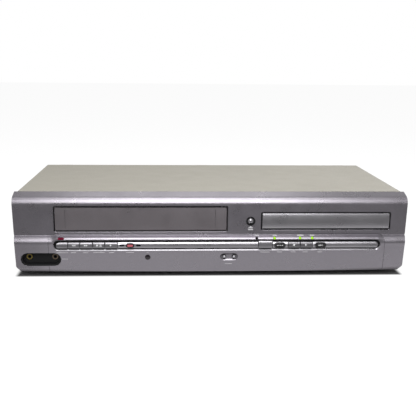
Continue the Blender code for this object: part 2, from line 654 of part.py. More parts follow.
FRONT_GREY = material("front_grey", (0.235, 0.225, 0.245), 0.36, 0.3)
COVER_GREY = material("cover_grey", (0.33, 0.31, 0.30), 0.42, 0.4)
FLAP_GREY = material("flap_grey", (0.150, 0.135, 0.145), 0.40, 0.2)
SILVER = material("silver_plastic", (0.56, 0.55, 0.57), 0.25, 0.7)
BLACK = material("black_plastic", (0.012, 0.012, 0.013), 0.45)
RUBBER = material("foot_rubber", (0.020, 0.020, 0.020), 0.85)
STEEL = material("zinc_steel", (0.55, 0.56, 0.57), 0.38, 0.9)
DRUM_METAL = material("drum_aluminium", (0.75, 0.75, 0.76), 0.22, 0.95)
LAMP_RED = material("lamp_red", (0.16, 0.004, 0.02), 0.15)
LAMP_GREEN = material("lamp_green", (0.32, 0.62, 0.02), 0.2)
DARK_LENS = material("dark_lens", (0.010, 0.008, 0.012), 0.08)
BOARD_GREEN = material("board_green", (0.03, 0.16, 0.07), 0.5)
GOLD = material("socket_gold", (0.62, 0.50, 0.18), 0.3, 0.9)
WHITE = material("white_plastic", (0.72, 0.72, 0.70), 0.4)
TRAY_BLACK = material("tray_black", (0.035, 0.035, 0.038), 0.5)
RECORD_RED = material("record_red", (0.62, 0.14, 0.18), 0.3)


def as_guide(mesh, name):
    """A new object in the cutters' collection; as_part moves it out again."""
    made = bpy.data.objects.new(name, mesh)
    CUTTERS.objects.link(made)
    made.hide_render = True
    made.display_type = "WIRE"
    return made


def as_part(shape, name, surface, origin=None):
    """Names a finished piece, gives it its material and puts its origin on its joint's axis."""
    shape.name = name
    CUTTERS.objects.unlink(shape)
    PARTS.objects.link(shape)
    shape.hide_render = False
    shape.display_type = "TEXTURED"
    shape.data.materials.append(surface)
    if origin is not None:
        move = Vector(origin) - shape.location
        shape.data.transform(shape.matrix_basis.to_3x3().to_4x4().inverted() @ Matrix.Translation(-move))
        shape.data.transform(shape.matrix_basis.to_3x3().to_4x4())
        shape.location = origin
    return shape


def smooth(mesh):
    mesh.shade_smooth()
    mesh.set_sharp_from_angle(angle=SHARP_ANGLE)


def mesh_from(work, name):
    """Finishes a mesh; places are rounded so that faces meant to share a plane really do."""
    for corner in work.verts:
        corner.co = [round(part, PLACE_DECIMALS) for part in corner.co]
    bmesh.ops.recalc_face_normals(work, faces=work.faces)
    mesh = bpy.data.meshes.new(name)
    work.to_mesh(mesh)
    work.free()
    return mesh


def block(low, high):
    """A box between two corners."""
    low = Vector(low)
    high = Vector(high)
    work = bmesh.new()
    place = Matrix.Translation((low + high) / 2) @ Matrix.Diagonal((*(high - low), 1.0))
    bmesh.ops.create_cube(work, size=1.0, matrix=place)
    return as_guide(mesh_from(work, "block"), "block")


def rod(start, end, radius, sides=SMALL_SIDES, end_radius=None):
    """A cylinder or cone from one point to another."""
    start = Vector(start)
    end = Vector(end)
    run = end - start
    work = bmesh.new()
    place = Matrix.Translation((start + end) / 2) @ run.to_track_quat("Z", "Y").to_matrix().to_4x4()
    bmesh.ops.create_cone(
        work,
        cap_ends=True,
        segments=sides,
        radius1=radius,
        radius2=radius if end_radius is None else end_radius,
        depth=run.length,
        matrix=place,
    )
    mesh = mesh_from(work, "rod")
    smooth(mesh)
    return as_guide(mesh, "rod")


DRAWN_TO_WORLD = {
    "X": Matrix(((0, 0, 1), (1, 0, 0), (0, 1, 0))),
    "Y": Matrix(((1, 0, 0), (0, 0, -1), (0, 1, 0))),
    "Z": Matrix.Identity(3),
}
AXIS_VECTOR = {"X": Vector((1, 0, 0)), "Y": Vector((0, 1, 0)), "Z": Vector((0, 0, 1))}


def drawn(axis, outlines, low, high, closed=True):
    """A flat outline pushed out along an axis: (y, z) along X, (x, z) along Y and (x, y) along Z."""
    sketch = bpy.data.curves.new("sketch", "CURVE")
    sketch.dimensions = "2D"
    sketch.fill_mode = "BOTH" if closed else "NONE"
    sketch.extrude = (high - low) / 2
    for outline in outlines:
        spline = sketch.splines.new("POLY")
        spline.points.add(len(outline) - 1)
        for point, place in zip(spline.points, outline):
            point.co = (*place, 0.0, 1.0)
        spline.use_cyclic_u = closed
    holder = as_guide(sketch, "sketch")
    turn = DRAWN_TO_WORLD[axis].to_4x4()
    holder.matrix_world = Matrix.Translation(AXIS_VECTOR[axis] * ((low + high) / 2)) @ turn
    seen = holder.evaluated_get(bpy.context.evaluated_depsgraph_get())
    mesh = bpy.data.meshes.new_from_object(seen)
    mesh.transform(holder.matrix_world)
    bpy.data.objects.remove(holder)
    work = bmesh.new()
    work.from_mesh(mesh)
    bmesh.ops.remove_doubles(work, verts=work.verts, dist=WELD_DISTANCE)
    bmesh.ops.dissolve_limit(work, angle_limit=FLAT_ANGLE, verts=work.verts, edges=work.edges)
    made = mesh_from(work, "prism")
    bpy.data.meshes.remove(mesh)
    smooth(made)
    return as_guide(made, "prism")


def prism(axis, outline, low, high):
    return drawn(axis, [outline], low, high)


def lofted(rings):
    """A solid through rings of points, closed at its first and last ring."""
    work = bmesh.new()
    corners = [[work.verts.new(place) for place in ring] for ring in rings]
    for near, far in zip(corners, corners[1:]):
        for step in range(len(near)):
            work.faces.new((near[step - 1], near[step], far[step], far[step - 1]))
    work.faces.new(corners[0])
    work.faces.new(reversed(corners[-1]))
    return as_guide(mesh_from(work, "lofted"), "lofted")


def chamfered(mouth, throat, back):
    """A cutter that narrows from a mouth's points to a throat's, then runs straight back."""
    return lofted([mouth, throat, [(x, back, z) for x, _, z in throat]])


def turned(at, profile, sides=ROUND_SIDES, direction=(0, 0, 1), ring=False):
    """A profile of (radius, height) points, top to bottom, turned about a line through a point."""
    work = bmesh.new()
    places = [work.verts.new((radius, 0, height)) for radius, height in profile]
    for first, second in zip(places, places[1:]):
        work.edges.new((first, second))
    if ring:
        work.edges.new((places[-1], places[0]))
    mesh = bpy.data.meshes.new("turned")
    work.to_mesh(mesh)
    work.free()
    made = as_guide(mesh, "turned")
    turn = Vector(direction).to_track_quat("Z", "Y").to_matrix().to_4x4()
    made.matrix_world = Matrix.Translation(at) @ turn
    screw = made.modifiers.new("turn", "SCREW")
    screw.steps = sides
    screw.render_steps = sides
    screw.use_merge_vertices = True
    screw.merge_threshold = WELD_DISTANCE
    screw.use_smooth_shade = False
    return made


def combine(operation, target, tools):
    for tool in tools:
        step = target.modifiers.new(operation.lower(), "BOOLEAN")
        step.operation = operation
        step.solver = "EXACT"
        step.object = tool
    return target


def cut(target, *tools):
    return combine("DIFFERENCE", target, tools)


def join(target, *tools):
    return combine("UNION", target, tools)


def keep(target, *tools):
    return combine("INTERSECT", target, tools)


def arc(centre, radius, start, end, steps=ARC_STEPS):
    """Points along an arc; angles in degrees, from the outline's first axis towards its second."""
    return [
        (
            centre[0] + radius * math.cos(math.radians(start + (end - start) * step / steps)),
            centre[1] + radius * math.sin(math.radians(start + (end - start) * step / steps)),
        )
        for step in range(steps + 1)
    ]


def stadium(left, right, mid, half, steps=6):
    return arc((right - half, mid), half, -90, 90, steps) + arc((left + half, mid), half, 90, 270, steps)


def rounded(left, right, bottom, top, radius, steps=3):
    return (
        arc((right - radius, bottom + radius), radius, -90, 0, steps)
        + arc((right - radius, top - radius), radius, 0, 90, steps)
        + arc((left + radius, top - radius), radius, 90, 180, steps)
        + arc((left + radius, bottom + radius), radius, 180, 270, steps)
    )


def rectangle(left, right, bottom, top):
    return [(left, bottom), (right, bottom), (right, top), (left, top)]


def lower_face_y(height):
    """How far forward the leaning lower face is at a height."""
    share = (RIDGE_HEIGHT - height) / (RIDGE_HEIGHT - FRONT_BOTTOM)
    return FRONT_Y + LOWER_LEAN * share


def upper_face_y(height):
    """How far forward the leaning upper face is at a height."""
    share = (TOP_EDGE_HEIGHT - height) / (TOP_EDGE_HEIGHT - SHOULDER_HEIGHT)
    return FACE_Y + FACE_LEAN * share


# Moulded front


def bezel_side_outline():
    """Side view of the moulded front: sloping lip, rounded edge, upper face, shoulder, lower face."""
    top_centre = (FACE_Y + TOP_EDGE_RADIUS, TOP_EDGE_HEIGHT)
    return (
        [(BEZEL_BACK, LIP_HEIGHT)]
        + arc(top_centre, TOP_EDGE_RADIUS, 90 + LIP_SLOPE_DEGREES, 180, BEZEL_ARC_STEPS)
        + [(FACE_Y + FACE_LEAN, SHOULDER_HEIGHT)]
        + arc((FRONT_Y + RIDGE_RADIUS, RIDGE_HEIGHT), RIDGE_RADIUS, 90, 180, BEZEL_ARC_STEPS)
        + [(FRONT_Y + LOWER_LEAN, FRONT_BOTTOM), (BEZEL_BACK, FRONT_BOTTOM)]
    )


def bezel_hollow_outline():
    """The same side view moved in by the wall, and open at the back."""
    back = BEZEL_BACK + CUT_OVERRUN
    face = FACE_Y + FRONT_WALL
    ridge = FRONT_Y + FRONT_WALL
    inner_edge = TOP_EDGE_RADIUS - FRONT_WALL
    return (
        [(back, LIP_HEIGHT - FRONT_WALL)]
        + arc((face + inner_edge, TOP_EDGE_HEIGHT), inner_edge, 90 + LIP_SLOPE_DEGREES, 180, 2)
        + [(face + FACE_LEAN, SHOULDER_HEIGHT - FRONT_WALL)]
        + arc((ridge + RIDGE_RADIUS - FRONT_WALL, RIDGE_HEIGHT), RIDGE_RADIUS - FRONT_WALL, 90, 180, 2)
        + [(ridge + LOWER_LEAN, FRONT_BOTTOM - CUT_OVERRUN), (back, FRONT_BOTTOM - CUT_OVERRUN)]
    )


def bow_stations():
    """Places along the lower edge, as (x, rise): it rises from the middle to both ends."""
    half = CASE_WIDTH / 2 - SIDE_TAPER - CORNER_CUT_WIDTH
    shares = [2 * step / BOW_STEPS - 1 for step in range(BOW_STEPS + 1)]
    return [(half * share, BOTTOM_BOW * share * share) for share in shares]


def bezel_front_outline(inset):
    """Front view: straight bottom edge, cut lower corners and sides that taper in. The inside of the
    wall, which has an inset, rises towards both ends instead, and leaves room for the undercut."""
    half = CASE_WIDTH / 2 - inset
    low_half = half - SIDE_TAPER
    foot_half = low_half - CORNER_CUT_WIDTH
    low = FRONT_BOTTOM + inset
    bottom = [(-foot_half, low), (foot_half, low)]
    if inset:
        bottom = [(x * foot_half / (foot_half + inset), low + rise) for x, rise in bow_stations()]
    side = [
        (low_half, low + CORNER_CUT_HEIGHT),
        (half - RIDGE_SIDE_INSET, RIDGE_HEIGHT),
        (half - SHOULDER_SIDE_INSET, SHOULDER_HEIGHT),
        (half, TOP_EDGE_HEIGHT),
        (half, LIP_HEIGHT + CUT_OVERRUN - inset - inset),
    ]
    return bottom + side + [(-x, height) for x, height in reversed(side)]


def undercut():
    """What is taken away below the leaning lower face: it turns back under, more towards both ends."""
    reach = CASE_WIDTH / 2 + CUT_OVERRUN
    stations = bow_stations()
    stations = [(-reach, stations[0][1])] + stations + [(reach, stations[-1][1])]
    base = FRONT_BOTTOM - CUT_OVERRUN
    rings = []
    for x, rise in stations:
        height = FRONT_BOTTOM + BOTTOM_EDGE + rise
        face = lower_face_y(height)
        front = face - CUT_OVERRUN
        back = face + height - base
        rings.append([(x, front, height + CUT_OVERRUN), (x, front, base), (x, back, base)])
    return lofted(rings)


def bezel_shell(outline, low, high):
    """The wall of the moulded front inside a front-view outline."""
    past = CASE_WIDTH / 2 + CUT_OVERRUN
    front = FRONT_Y - CUT_OVERRUN
    back = BEZEL_BACK + CUT_OVERRUN + CUT_OVERRUN
    shell = prism("X", bezel_side_outline(), low, high)
    keep(shell, prism("Y", bezel_front_outline(0), front, back))
    hollow = prism("X", bezel_hollow_outline(), -past, past)
    keep(hollow, prism("Y", bezel_front_outline(FRONT_WALL), front, back))
    cut(shell, hollow, undercut())
    if outline is not None:
        keep(shell, prism("Y", outline, front, back))
    return shell


def fascia_outline(inset):
    """Front view of the separate lower moulding, with rounded top corners."""
    left = SEAM_LEFT + inset
    right = SEAM_RIGHT - inset
    top = FASCIA_TOP - inset
    radius = FASCIA_CORNER - inset
    return (
        [(left, FRONT_BOTTOM - CUT_OVERRUN), (right, FRONT_BOTTOM - CUT_OVERRUN)]
        + arc((right - radius, top - radius), radius, 0, 90)
        + arc((left + radius, top - radius), radius, 90, 180)
    )


def face_opening(left, right, bottom, top, back):
    """A hole through the upper face with a narrow chamfer round its edge."""
    wide = OPEN_CHAMFER + CUT_OVERRUN
    inner = rounded(left, right, bottom, top, OPEN_CORNER, 2)
    outer = rounded(left - wide, right + wide, bottom - wide, top + wide, OPEN_CORNER + wide, 2)
    mouth = [(x, upper_face_y(z) - CUT_OVERRUN, z) for x, z in outer]
    throat = [(x, upper_face_y(z) + OPEN_CHAMFER, z) for x, z in inner]
    return chamfered(mouth, throat, back)


def channel_cutter():
    """The button channel: its chamfer is widest along the bottom and fades out towards the top."""
    mid = CHANNEL_MID_HEIGHT
    half = CHANNEL_HALF_HEIGHT
    mouth = []
    throat = []
    for x, z in stadium(CHANNEL_LEFT, CHANNEL_RIGHT, mid, half):
        centre = min(max(x, CHANNEL_LEFT + half), CHANNEL_RIGHT - half)
        share = max((half - (z - mid)) / (half + half), CHANNEL_CHAMFER_LEAST_SHARE)
        width = CHANNEL_CHAMFER * share
        spread = (half + width + CUT_OVERRUN) / half
        wide_z = mid + (z - mid) * spread
        mouth.append((centre + (x - centre) * spread, lower_face_y(wide_z) - CUT_OVERRUN, wide_z))
        throat.append((x, lower_face_y(z) + width, z))
    return chamfered(mouth, throat, CHANNEL_FLOOR_Y)


def scoop_cutter(floor):
    """A shallow dish with sloping sides round the two small buttons."""
    wide = CUT_OVERRUN
    half = SCOOP_HALF_HEIGHT + wide
    outer = stadium(SCOOP_LEFT - wide, SCOOP_RIGHT + wide, SMALL_ROW_HEIGHT, half)
    inner = stadium(
        SCOOP_LEFT + SCOOP_SLOPE,
        SCOOP_RIGHT - SCOOP_SLOPE,
        SMALL_ROW_HEIGHT,
        SCOOP_HALF_HEIGHT - SCOOP_SLOPE,
    )
    mouth = [(x, lower_face_y(z) - CUT_OVERRUN, z) for x, z in outer]
    throat = [(x, floor, z) for x, z in inner]
    return lofted([mouth, throat])


def jack_hole():
    past = FRONT_Y - CUT_OVERRUN
    half = JACK_HALF_HEIGHT + SEAT_GAP
    outline = stadium(JACK_LEFT - SEAT_GAP, JACK_RIGHT + SEAT_GAP, JACK_MID_HEIGHT, half)
    return prism("Y", outline, past, BEZEL_BACK)


def front_hole(x, height, radius, depth_from, depth_to, sides=SMALL_SIDES):
    return rod((x, depth_from, height), (x, depth_to, height), radius, sides)


def make_front_panel():
    half = CASE_WIDTH / 2
    panel = bezel_shell(None, -half, half)
    front = FRONT_Y - CUT_OVERRUN
    wall_back = FACE_Y + FACE_LEAN + FRONT_WALL + CUT_OVERRUN
    ear_y = (DOOR_AXIS_Y - DOOR_EAR_HALF, DOOR_AXIS_Y + DOOR_EAR_HALF)
    ear_z = (FLAP_OPEN_TOP - OPEN_CORNER, DOOR_AXIS_HEIGHT + DOOR_EAR_HALF)
    for side, edge in ((-1, FLAP_OPEN_LEFT), (1, FLAP_OPEN_RIGHT)):
        near = edge + side * SEAT_GAP
        far = near + side * DOOR_EAR
        join(panel, block((min(near, far), ear_y[0], ear_z[0]), (max(near, far), ear_y[1], ear_z[1])))
        cut(
            panel,
            rod(
                (near - side * CUT_OVERRUN, DOOR_AXIS_Y, DOOR_AXIS_HEIGHT),
                (far + side * CUT_OVERRUN, DOOR_AXIS_Y, DOOR_AXIS_HEIGHT),
                DOOR_PIN_RADIUS + SEAT_GAP,
                TINY_SIDES,
            ),
        )
    ring_floor = upper_face_y(TRAY_BUTTON_HEIGHT) + RING_DEPTH
    cut(
        panel,
        prism("Y", fascia_outline(0), front, BEZEL_BACK + CUT_OVERRUN),
        face_opening(FLAP_OPEN_LEFT, FLAP_OPEN_RIGHT, FLAP_OPEN_BOTTOM, FLAP_OPEN_TOP, wall_back),
        face_opening(TRAY_OPEN_LEFT, TRAY_OPEN_RIGHT, TRAY_OPEN_BOTTOM, TRAY_OPEN_TOP, wall_back),
        front_hole(TRAY_BUTTON_X, TRAY_BUTTON_HEIGHT, TRAY_BUTTON_RING, front, ring_floor, ROUND_SIDES),
        front_hole(TRAY_BUTTON_X, TRAY_BUTTON_HEIGHT, TRAY_BUTTON_RADIUS + SEAT_GAP, front, wall_back),
        jack_hole(),
    )
    as_part(panel, "front_panel", FRONT_GREY)


def make_fascia():
    fascia = bezel_shell(fascia_outline(SEAT_GAP), SEAM_LEFT, SEAM_RIGHT)
    front = FRONT_Y - CUT_OVERRUN
    floor_back = CHANNEL_FLOOR_Y + CHANNEL_FLOOR
    reach = CHANNEL_HALF_HEIGHT + BACKING_MARGIN
    wall_mid = FRONT_Y + FRONT_WALL / 2
    backing = prism(
        "Y",
        rectangle(
            CHANNEL_LEFT - BACKING_MARGIN,
            CHANNEL_RIGHT + BACKING_MARGIN,
            CHANNEL_MID_HEIGHT - reach,
            CHANNEL_MID_HEIGHT + reach,
        ),
        wall_mid,
        floor_back,
    )
    keep(backing, prism("X", bezel_side_outline(), SEAM_LEFT, SEAM_RIGHT))
    join(fascia, backing)
    for x in BOARD_BOSS_X:
        start = (x, floor_back - JOIN_DEPTH, BAR_MID_HEIGHT)
        join(fascia, rod(start, (x, BOARD_FRONT - SEAT_GAP, BAR_MID_HEIGHT), BOARD_BOSS_RADIUS))
    cut(fascia, channel_cutter())
    hole = STEM_WIDTH / 2 + STEM_CLEARANCE
    for x in stem_places():
        low = (x - hole, CHANNEL_FLOOR_Y - CUT_OVERRUN, BAR_MID_HEIGHT - hole)
        cut(fascia, block(low, (x + hole, floor_back + CUT_OVERRUN, BAR_MID_HEIGHT + hole)))
    face = lower_face_y(SMALL_ROW_HEIGHT)
    scoop_floor = face + SCOOP_DEPTH
    cut(fascia, scoop_cutter(scoop_floor))
    wall_back = face + FRONT_WALL + CUT_OVERRUN
    for x in CHANNEL_BUTTONS.values():
        radius = CHANNEL_BUTTON_RADIUS + SEAT_GAP
        cut(fascia, front_hole(x, SMALL_ROW_HEIGHT, radius, front, wall_back))
    cut(fascia, front_hole(IR_X, SMALL_ROW_HEIGHT, IR_RADIUS + SEAT_GAP, front, wall_back, 16))
    lens_half = LENS_HALF_HEIGHT + SEAT_GAP
    lens = stadium(POWER_LENS_LEFT - SEAT_GAP, POWER_LENS_RIGHT + SEAT_GAP, LENS_MID_HEIGHT, lens_half, 4)
    cut(fascia, prism("Y", lens, front, floor_back + CUT_OVERRUN))
    for x in LAMP_X:
        radius = LAMP_RADIUS + SEAT_GAP
        cut(fascia, front_hole(x, LENS_MID_HEIGHT, radius, front, floor_back + CUT_OVERRUN, TINY_SIDES))
    cut(fascia, jack_hole())
    as_part(fascia, "control_fascia", FRONT_GREY)


def middle(span):
    return (span[0] + span[1]) / 2


def stem_places():
    places = [middle(span) for span in BAR_BUTTONS.values()]
    places += [middle((POWER_LEFT, POWER_RIGHT)), middle((SOURCE_LEFT, SOURCE_RIGHT))]
    return places + list(OVAL_BUTTONS.values())


def oval_half_width(name):
    return RECORD_HALF_WIDTH if name == "button_record" else OVAL_HALF_WIDTH


def make_button_bar():
    """The silver strip in the channel: a full-length web with raised lengths between the buttons."""
    bar_front = FRONT_Y + BAR_SETBACK
    bar = crowned_cap(BAR_LEFT, BAR_RIGHT, BAR_HALF_HEIGHT, bar_front, WEB_BACK)
    ends = stadium(BAR_LEFT, BAR_RIGHT, BAR_MID_HEIGHT, BAR_HALF_HEIGHT)
    keep(bar, prism("Y", ends, bar_front - CUT_OVERRUN, WEB_BACK + CUT_OVERRUN))
    spans = [
        (POWER_LEFT - CUT_OVERRUN, BAR_BUTTONS["button_play"][1] + CAP_GAP),
        (SOURCE_LEFT - CAP_GAP, SOURCE_RIGHT + CAP_GAP),
        (BAR_BUTTONS["button_disc_stop"][0] - CAP_GAP, BAR_BUTTONS["button_disc_play"][1] + CAP_GAP),
    ]
    reach = BAR_HALF_HEIGHT + CUT_OVERRUN
    for left, right in spans:
        low = (left, bar_front - CUT_OVERRUN, BAR_MID_HEIGHT - reach)
        cut(bar, block(low, (right, WEB_FRONT, BAR_MID_HEIGHT + reach)))
    for name, x in OVAL_BUTTONS.items():
        half = oval_half_width(name)
        pocket = stadium(x - half, x + half, BAR_MID_HEIGHT, OVAL_HALF_HEIGHT)
        cut(bar, prism("Y", pocket, bar_front - CUT_OVERRUN, WEB_FRONT))
    hole = STEM_WIDTH / 2 + STEM_CLEARANCE
    for x in stem_places():
        low = (x - hole, WEB_FRONT - CUT_OVERRUN, BAR_MID_HEIGHT - hole)
        cut(bar, block(low, (x + hole, WEB_BACK + CUT_OVERRUN, BAR_MID_HEIGHT + hole)))
    as_part(bar, "button_bar", SILVER)


def stem(x, start):
    half = STEM_WIDTH / 2
    low = (x - half, start - JOIN_DEPTH, BAR_MID_HEIGHT - half)
    return block(low, (x + half, STEM_END, BAR_MID_HEIGHT + half))


def crowned_cap(left, right, half_height, front, back, mid=BAR_MID_HEIGHT):
    """A key cap whose face leans back towards its upper edge and a little towards its lower one."""
    face = [
        (front + CAP_CROWN * back_share, mid + half_height * rise_share)
        for rise_share, back_share in CAP_FACE_SHARES
    ]
    edges = [(back, mid + half_height), (back, mid - half_height)]
    return prism("X", face + edges, left, right)


def make_bar_buttons():
    front = FRONT_Y + CAP_SETBACK
    for name, (left, right) in BAR_BUTTONS.items():
        cap = crowned_cap(left, right, BAR_HALF_HEIGHT, front, front + CAP_DEPTH)
        x = middle((left, right))
        join(cap, stem(x, front + CAP_DEPTH))
        as_part(cap, name, SILVER, (x, front, BAR_MID_HEIGHT))
    power = crowned_cap(POWER_LEFT, POWER_RIGHT, BAR_HALF_HEIGHT, front, front + CAP_DEPTH)
    ends = stadium(POWER_LEFT, POWER_RIGHT + BAR_HALF_HEIGHT, BAR_MID_HEIGHT, BAR_HALF_HEIGHT)
    keep(power, prism("Y", ends, front - CUT_OVERRUN, front + CAP_DEPTH + CUT_OVERRUN))
    x = middle((POWER_LEFT, POWER_RIGHT))
    join(power, stem(x, front + CAP_DEPTH))
    as_part(power, "button_power", SILVER, (x, front, BAR_MID_HEIGHT))
    source_front = FRONT_Y + SOURCE_SETBACK
    source_back = source_front + CAP_DEPTH
    source_mid = BAR_MID_HEIGHT + SOURCE_RISE
    source = crowned_cap(
        SOURCE_LEFT, SOURCE_RIGHT, SOURCE_HALF_HEIGHT, source_front, source_back, source_mid
    )
    x = middle((SOURCE_LEFT, SOURCE_RIGHT))
    join(source, stem(x, source_front + CAP_DEPTH))
    as_part(source, "button_source", SILVER, (x, source_front, BAR_MID_HEIGHT))
    for name, x in OVAL_BUTTONS.items():
        half = oval_half_width(name) - OVAL_RIM
        outline = stadium(x - half, x + half, BAR_MID_HEIGHT, OVAL_HALF_HEIGHT - OVAL_RIM)
        cap = prism("Y", outline, front, front + CAP_DEPTH)
        join(cap, stem(x, front + CAP_DEPTH))
        surface = RECORD_RED if name == "button_record" else SILVER
        as_part(cap, name, surface, (x, front, BAR_MID_HEIGHT))


def round_button(name, x, height, radius, face, wall_back, surface):
    """A domed round button with a flange behind the wall that keeps it in."""
    crown = face - ROUND_PROUD
    flange = wall_back + ROUND_FLANGE_GAP
    profile = [
        (0, -crown),
        (radius / 2, -crown - ROUND_PROUD / 4),
        (radius, -crown - ROUND_PROUD),
        (radius, -flange),
        (radius + ROUND_FLANGE, -flange),
        (radius + ROUND_FLANGE, -flange - ROUND_FLANGE_DEPTH),
        (STEM_WIDTH / 2, -flange - ROUND_FLANGE_DEPTH),
        (STEM_WIDTH / 2, -STEM_END),
        (0, -STEM_END),
    ]
    made = turned((x, 0, height), profile, SMALL_SIDES, (0, -1, 0))
    as_part(made, name, surface)


def make_round_buttons():
    face = upper_face_y(TRAY_BUTTON_HEIGHT)
    back = face + FRONT_WALL
    round_button(
        "button_tray_open", TRAY_BUTTON_X, TRAY_BUTTON_HEIGHT, TRAY_BUTTON_RADIUS, face, back, SILVER
    )
    face = lower_face_y(SMALL_ROW_HEIGHT)
    for name, x in CHANNEL_BUTTONS.items():
        back = face + FRONT_WALL
        round_button(name, x, SMALL_ROW_HEIGHT, CHANNEL_BUTTON_RADIUS, face, back, SILVER)


def make_windows():
    face = lower_face_y(SMALL_ROW_HEIGHT)
    profile = [
        (0, -face + IR_CROWN),
        (IR_RADIUS, -face),
        (IR_RADIUS, -face - IR_LENGTH),
        (0, -face - IR_LENGTH),
    ]
    window = turned((IR_X, 0, SMALL_ROW_HEIGHT), profile, 16, (0, -1, 0))
    as_part(window, "ir_window", DARK_LENS)
    front = FRONT_Y + LENS_SETBACK
    outline = stadium(POWER_LENS_LEFT, POWER_LENS_RIGHT, LENS_MID_HEIGHT, LENS_HALF_HEIGHT, 4)
    as_part(prism("Y", outline, front, front + LENS_REACH), "power_lens", LAMP_RED)
    bar_front = CHANNEL_FLOOR_Y + CHANNEL_FLOOR + SEAT_GAP
    bar_back = bar_front + GUIDE_BAR_DEPTH
    low = (LAMP_X[0] - GUIDE_BAR_DEPTH, bar_front, LENS_MID_HEIGHT - GUIDE_BAR_HALF_HEIGHT)
    high = (LAMP_X[-1] + GUIDE_BAR_DEPTH, bar_back, LENS_MID_HEIGHT + GUIDE_BAR_HALF_HEIGHT)
    guide = block(low, high)
    for x in LAMP_X:
        post_end = (x, bar_front + JOIN_DEPTH, LENS_MID_HEIGHT)
        join(guide, rod((x, front, LENS_MID_HEIGHT), post_end, LAMP_RADIUS, 10))
    as_part(guide, "indicator_light_guide", LAMP_GREEN)


def make_front_jacks():
    front = FRONT_Y + JACK_SETBACK
    floor = FRONT_Y + JACK_DEPTH
    outside = stadium(JACK_LEFT, JACK_RIGHT, JACK_MID_HEIGHT, JACK_HALF_HEIGHT)
    cup = prism("Y", outside, front, floor + JACK_CUP_WALL)
    inside = stadium(
        JACK_LEFT + JACK_CUP_WALL,
        JACK_RIGHT - JACK_CUP_WALL,
        JACK_MID_HEIGHT,
        JACK_HALF_HEIGHT - JACK_CUP_WALL,
    )
    cut(cup, prism("Y", inside, front - CUT_OVERRUN, floor))
    block_front = floor + JACK_CUP_WALL + SEAT_GAP
    block_back = block_front + JACK_BLOCK_DEPTH
    sockets = block(
        (JACK_LEFT + JACK_BLOCK_INSET, block_front, JACK_MID_HEIGHT - JACK_HALF_HEIGHT),
        (JACK_RIGHT - JACK_BLOCK_INSET, block_back, JACK_MID_HEIGHT + JACK_HALF_HEIGHT),
    )
    mouth = floor - SOCKET_PROUD
    height = JACK_MID_HEIGHT + JACK_SOCKET_RISE
    for x in JACK_SOCKET_X:
        radius = SOCKET_RADIUS + SOCKET_HOLE_CLEARANCE
        cut(cup, front_hole(x, height, radius, floor - CUT_OVERRUN, block_front + CUT_OVERRUN, 16))
        join(sockets, front_hole(x, height, SOCKET_RADIUS, mouth, block_front + JOIN_DEPTH, 16))
        bore_end = mouth + SOCKET_BORE_DEPTH
        cut(sockets, front_hole(x, height, SOCKET_BORE, mouth - CUT_OVERRUN, bore_end, TINY_SIDES))
    as_part(cup, "front_jack_cup", BLACK)
    as_part(sockets, "front_jack_sockets", GOLD)


def make_switch_board():
    tab_left = TRAY_BUTTON_X - SWITCH_TAB_HALF_WIDTH
    tab_right = TRAY_BUTTON_X + SWITCH_TAB_HALF_WIDTH
    tab_top = TRAY_BUTTON_HEIGHT + SWITCH_TAB_RISE
    outline = [
        (SWITCH_BOARD_NOTCH_X, SWITCH_BOARD_BOTTOM),
        (SWITCH_BOARD_RIGHT, SWITCH_BOARD_BOTTOM),
        (SWITCH_BOARD_RIGHT, SWITCH_BOARD_TOP),
        (tab_right, SWITCH_BOARD_TOP),
        (tab_right, tab_top),
        (tab_left, tab_top),
        (tab_left, SWITCH_BOARD_TOP),
        (SWITCH_BOARD_LEFT, SWITCH_BOARD_TOP),
        (SWITCH_BOARD_LEFT, SWITCH_BOARD_NOTCH_HEIGHT),
        (SWITCH_BOARD_NOTCH_X, SWITCH_BOARD_NOTCH_HEIGHT),
    ]
    board = prism("Y", outline, BOARD_FRONT, BOARD_FRONT + BOARD)
    places = [(x, BAR_MID_HEIGHT) for x in stem_places()]
    places += [(x, SMALL_ROW_HEIGHT) for x in CHANNEL_BUTTONS.values()]
    places.append((TRAY_BUTTON_X, TRAY_BUTTON_HEIGHT))
    half = SWITCH_SIZE / 2
    for x, height in places:
        low = (x - half, SWITCH_FRONT, height - half)
        join(board, block(low, (x + half, BOARD_FRONT + JOIN_DEPTH, height + half)))
    as_part(board, "switch_board", BOARD_GREEN)


# Cassette door


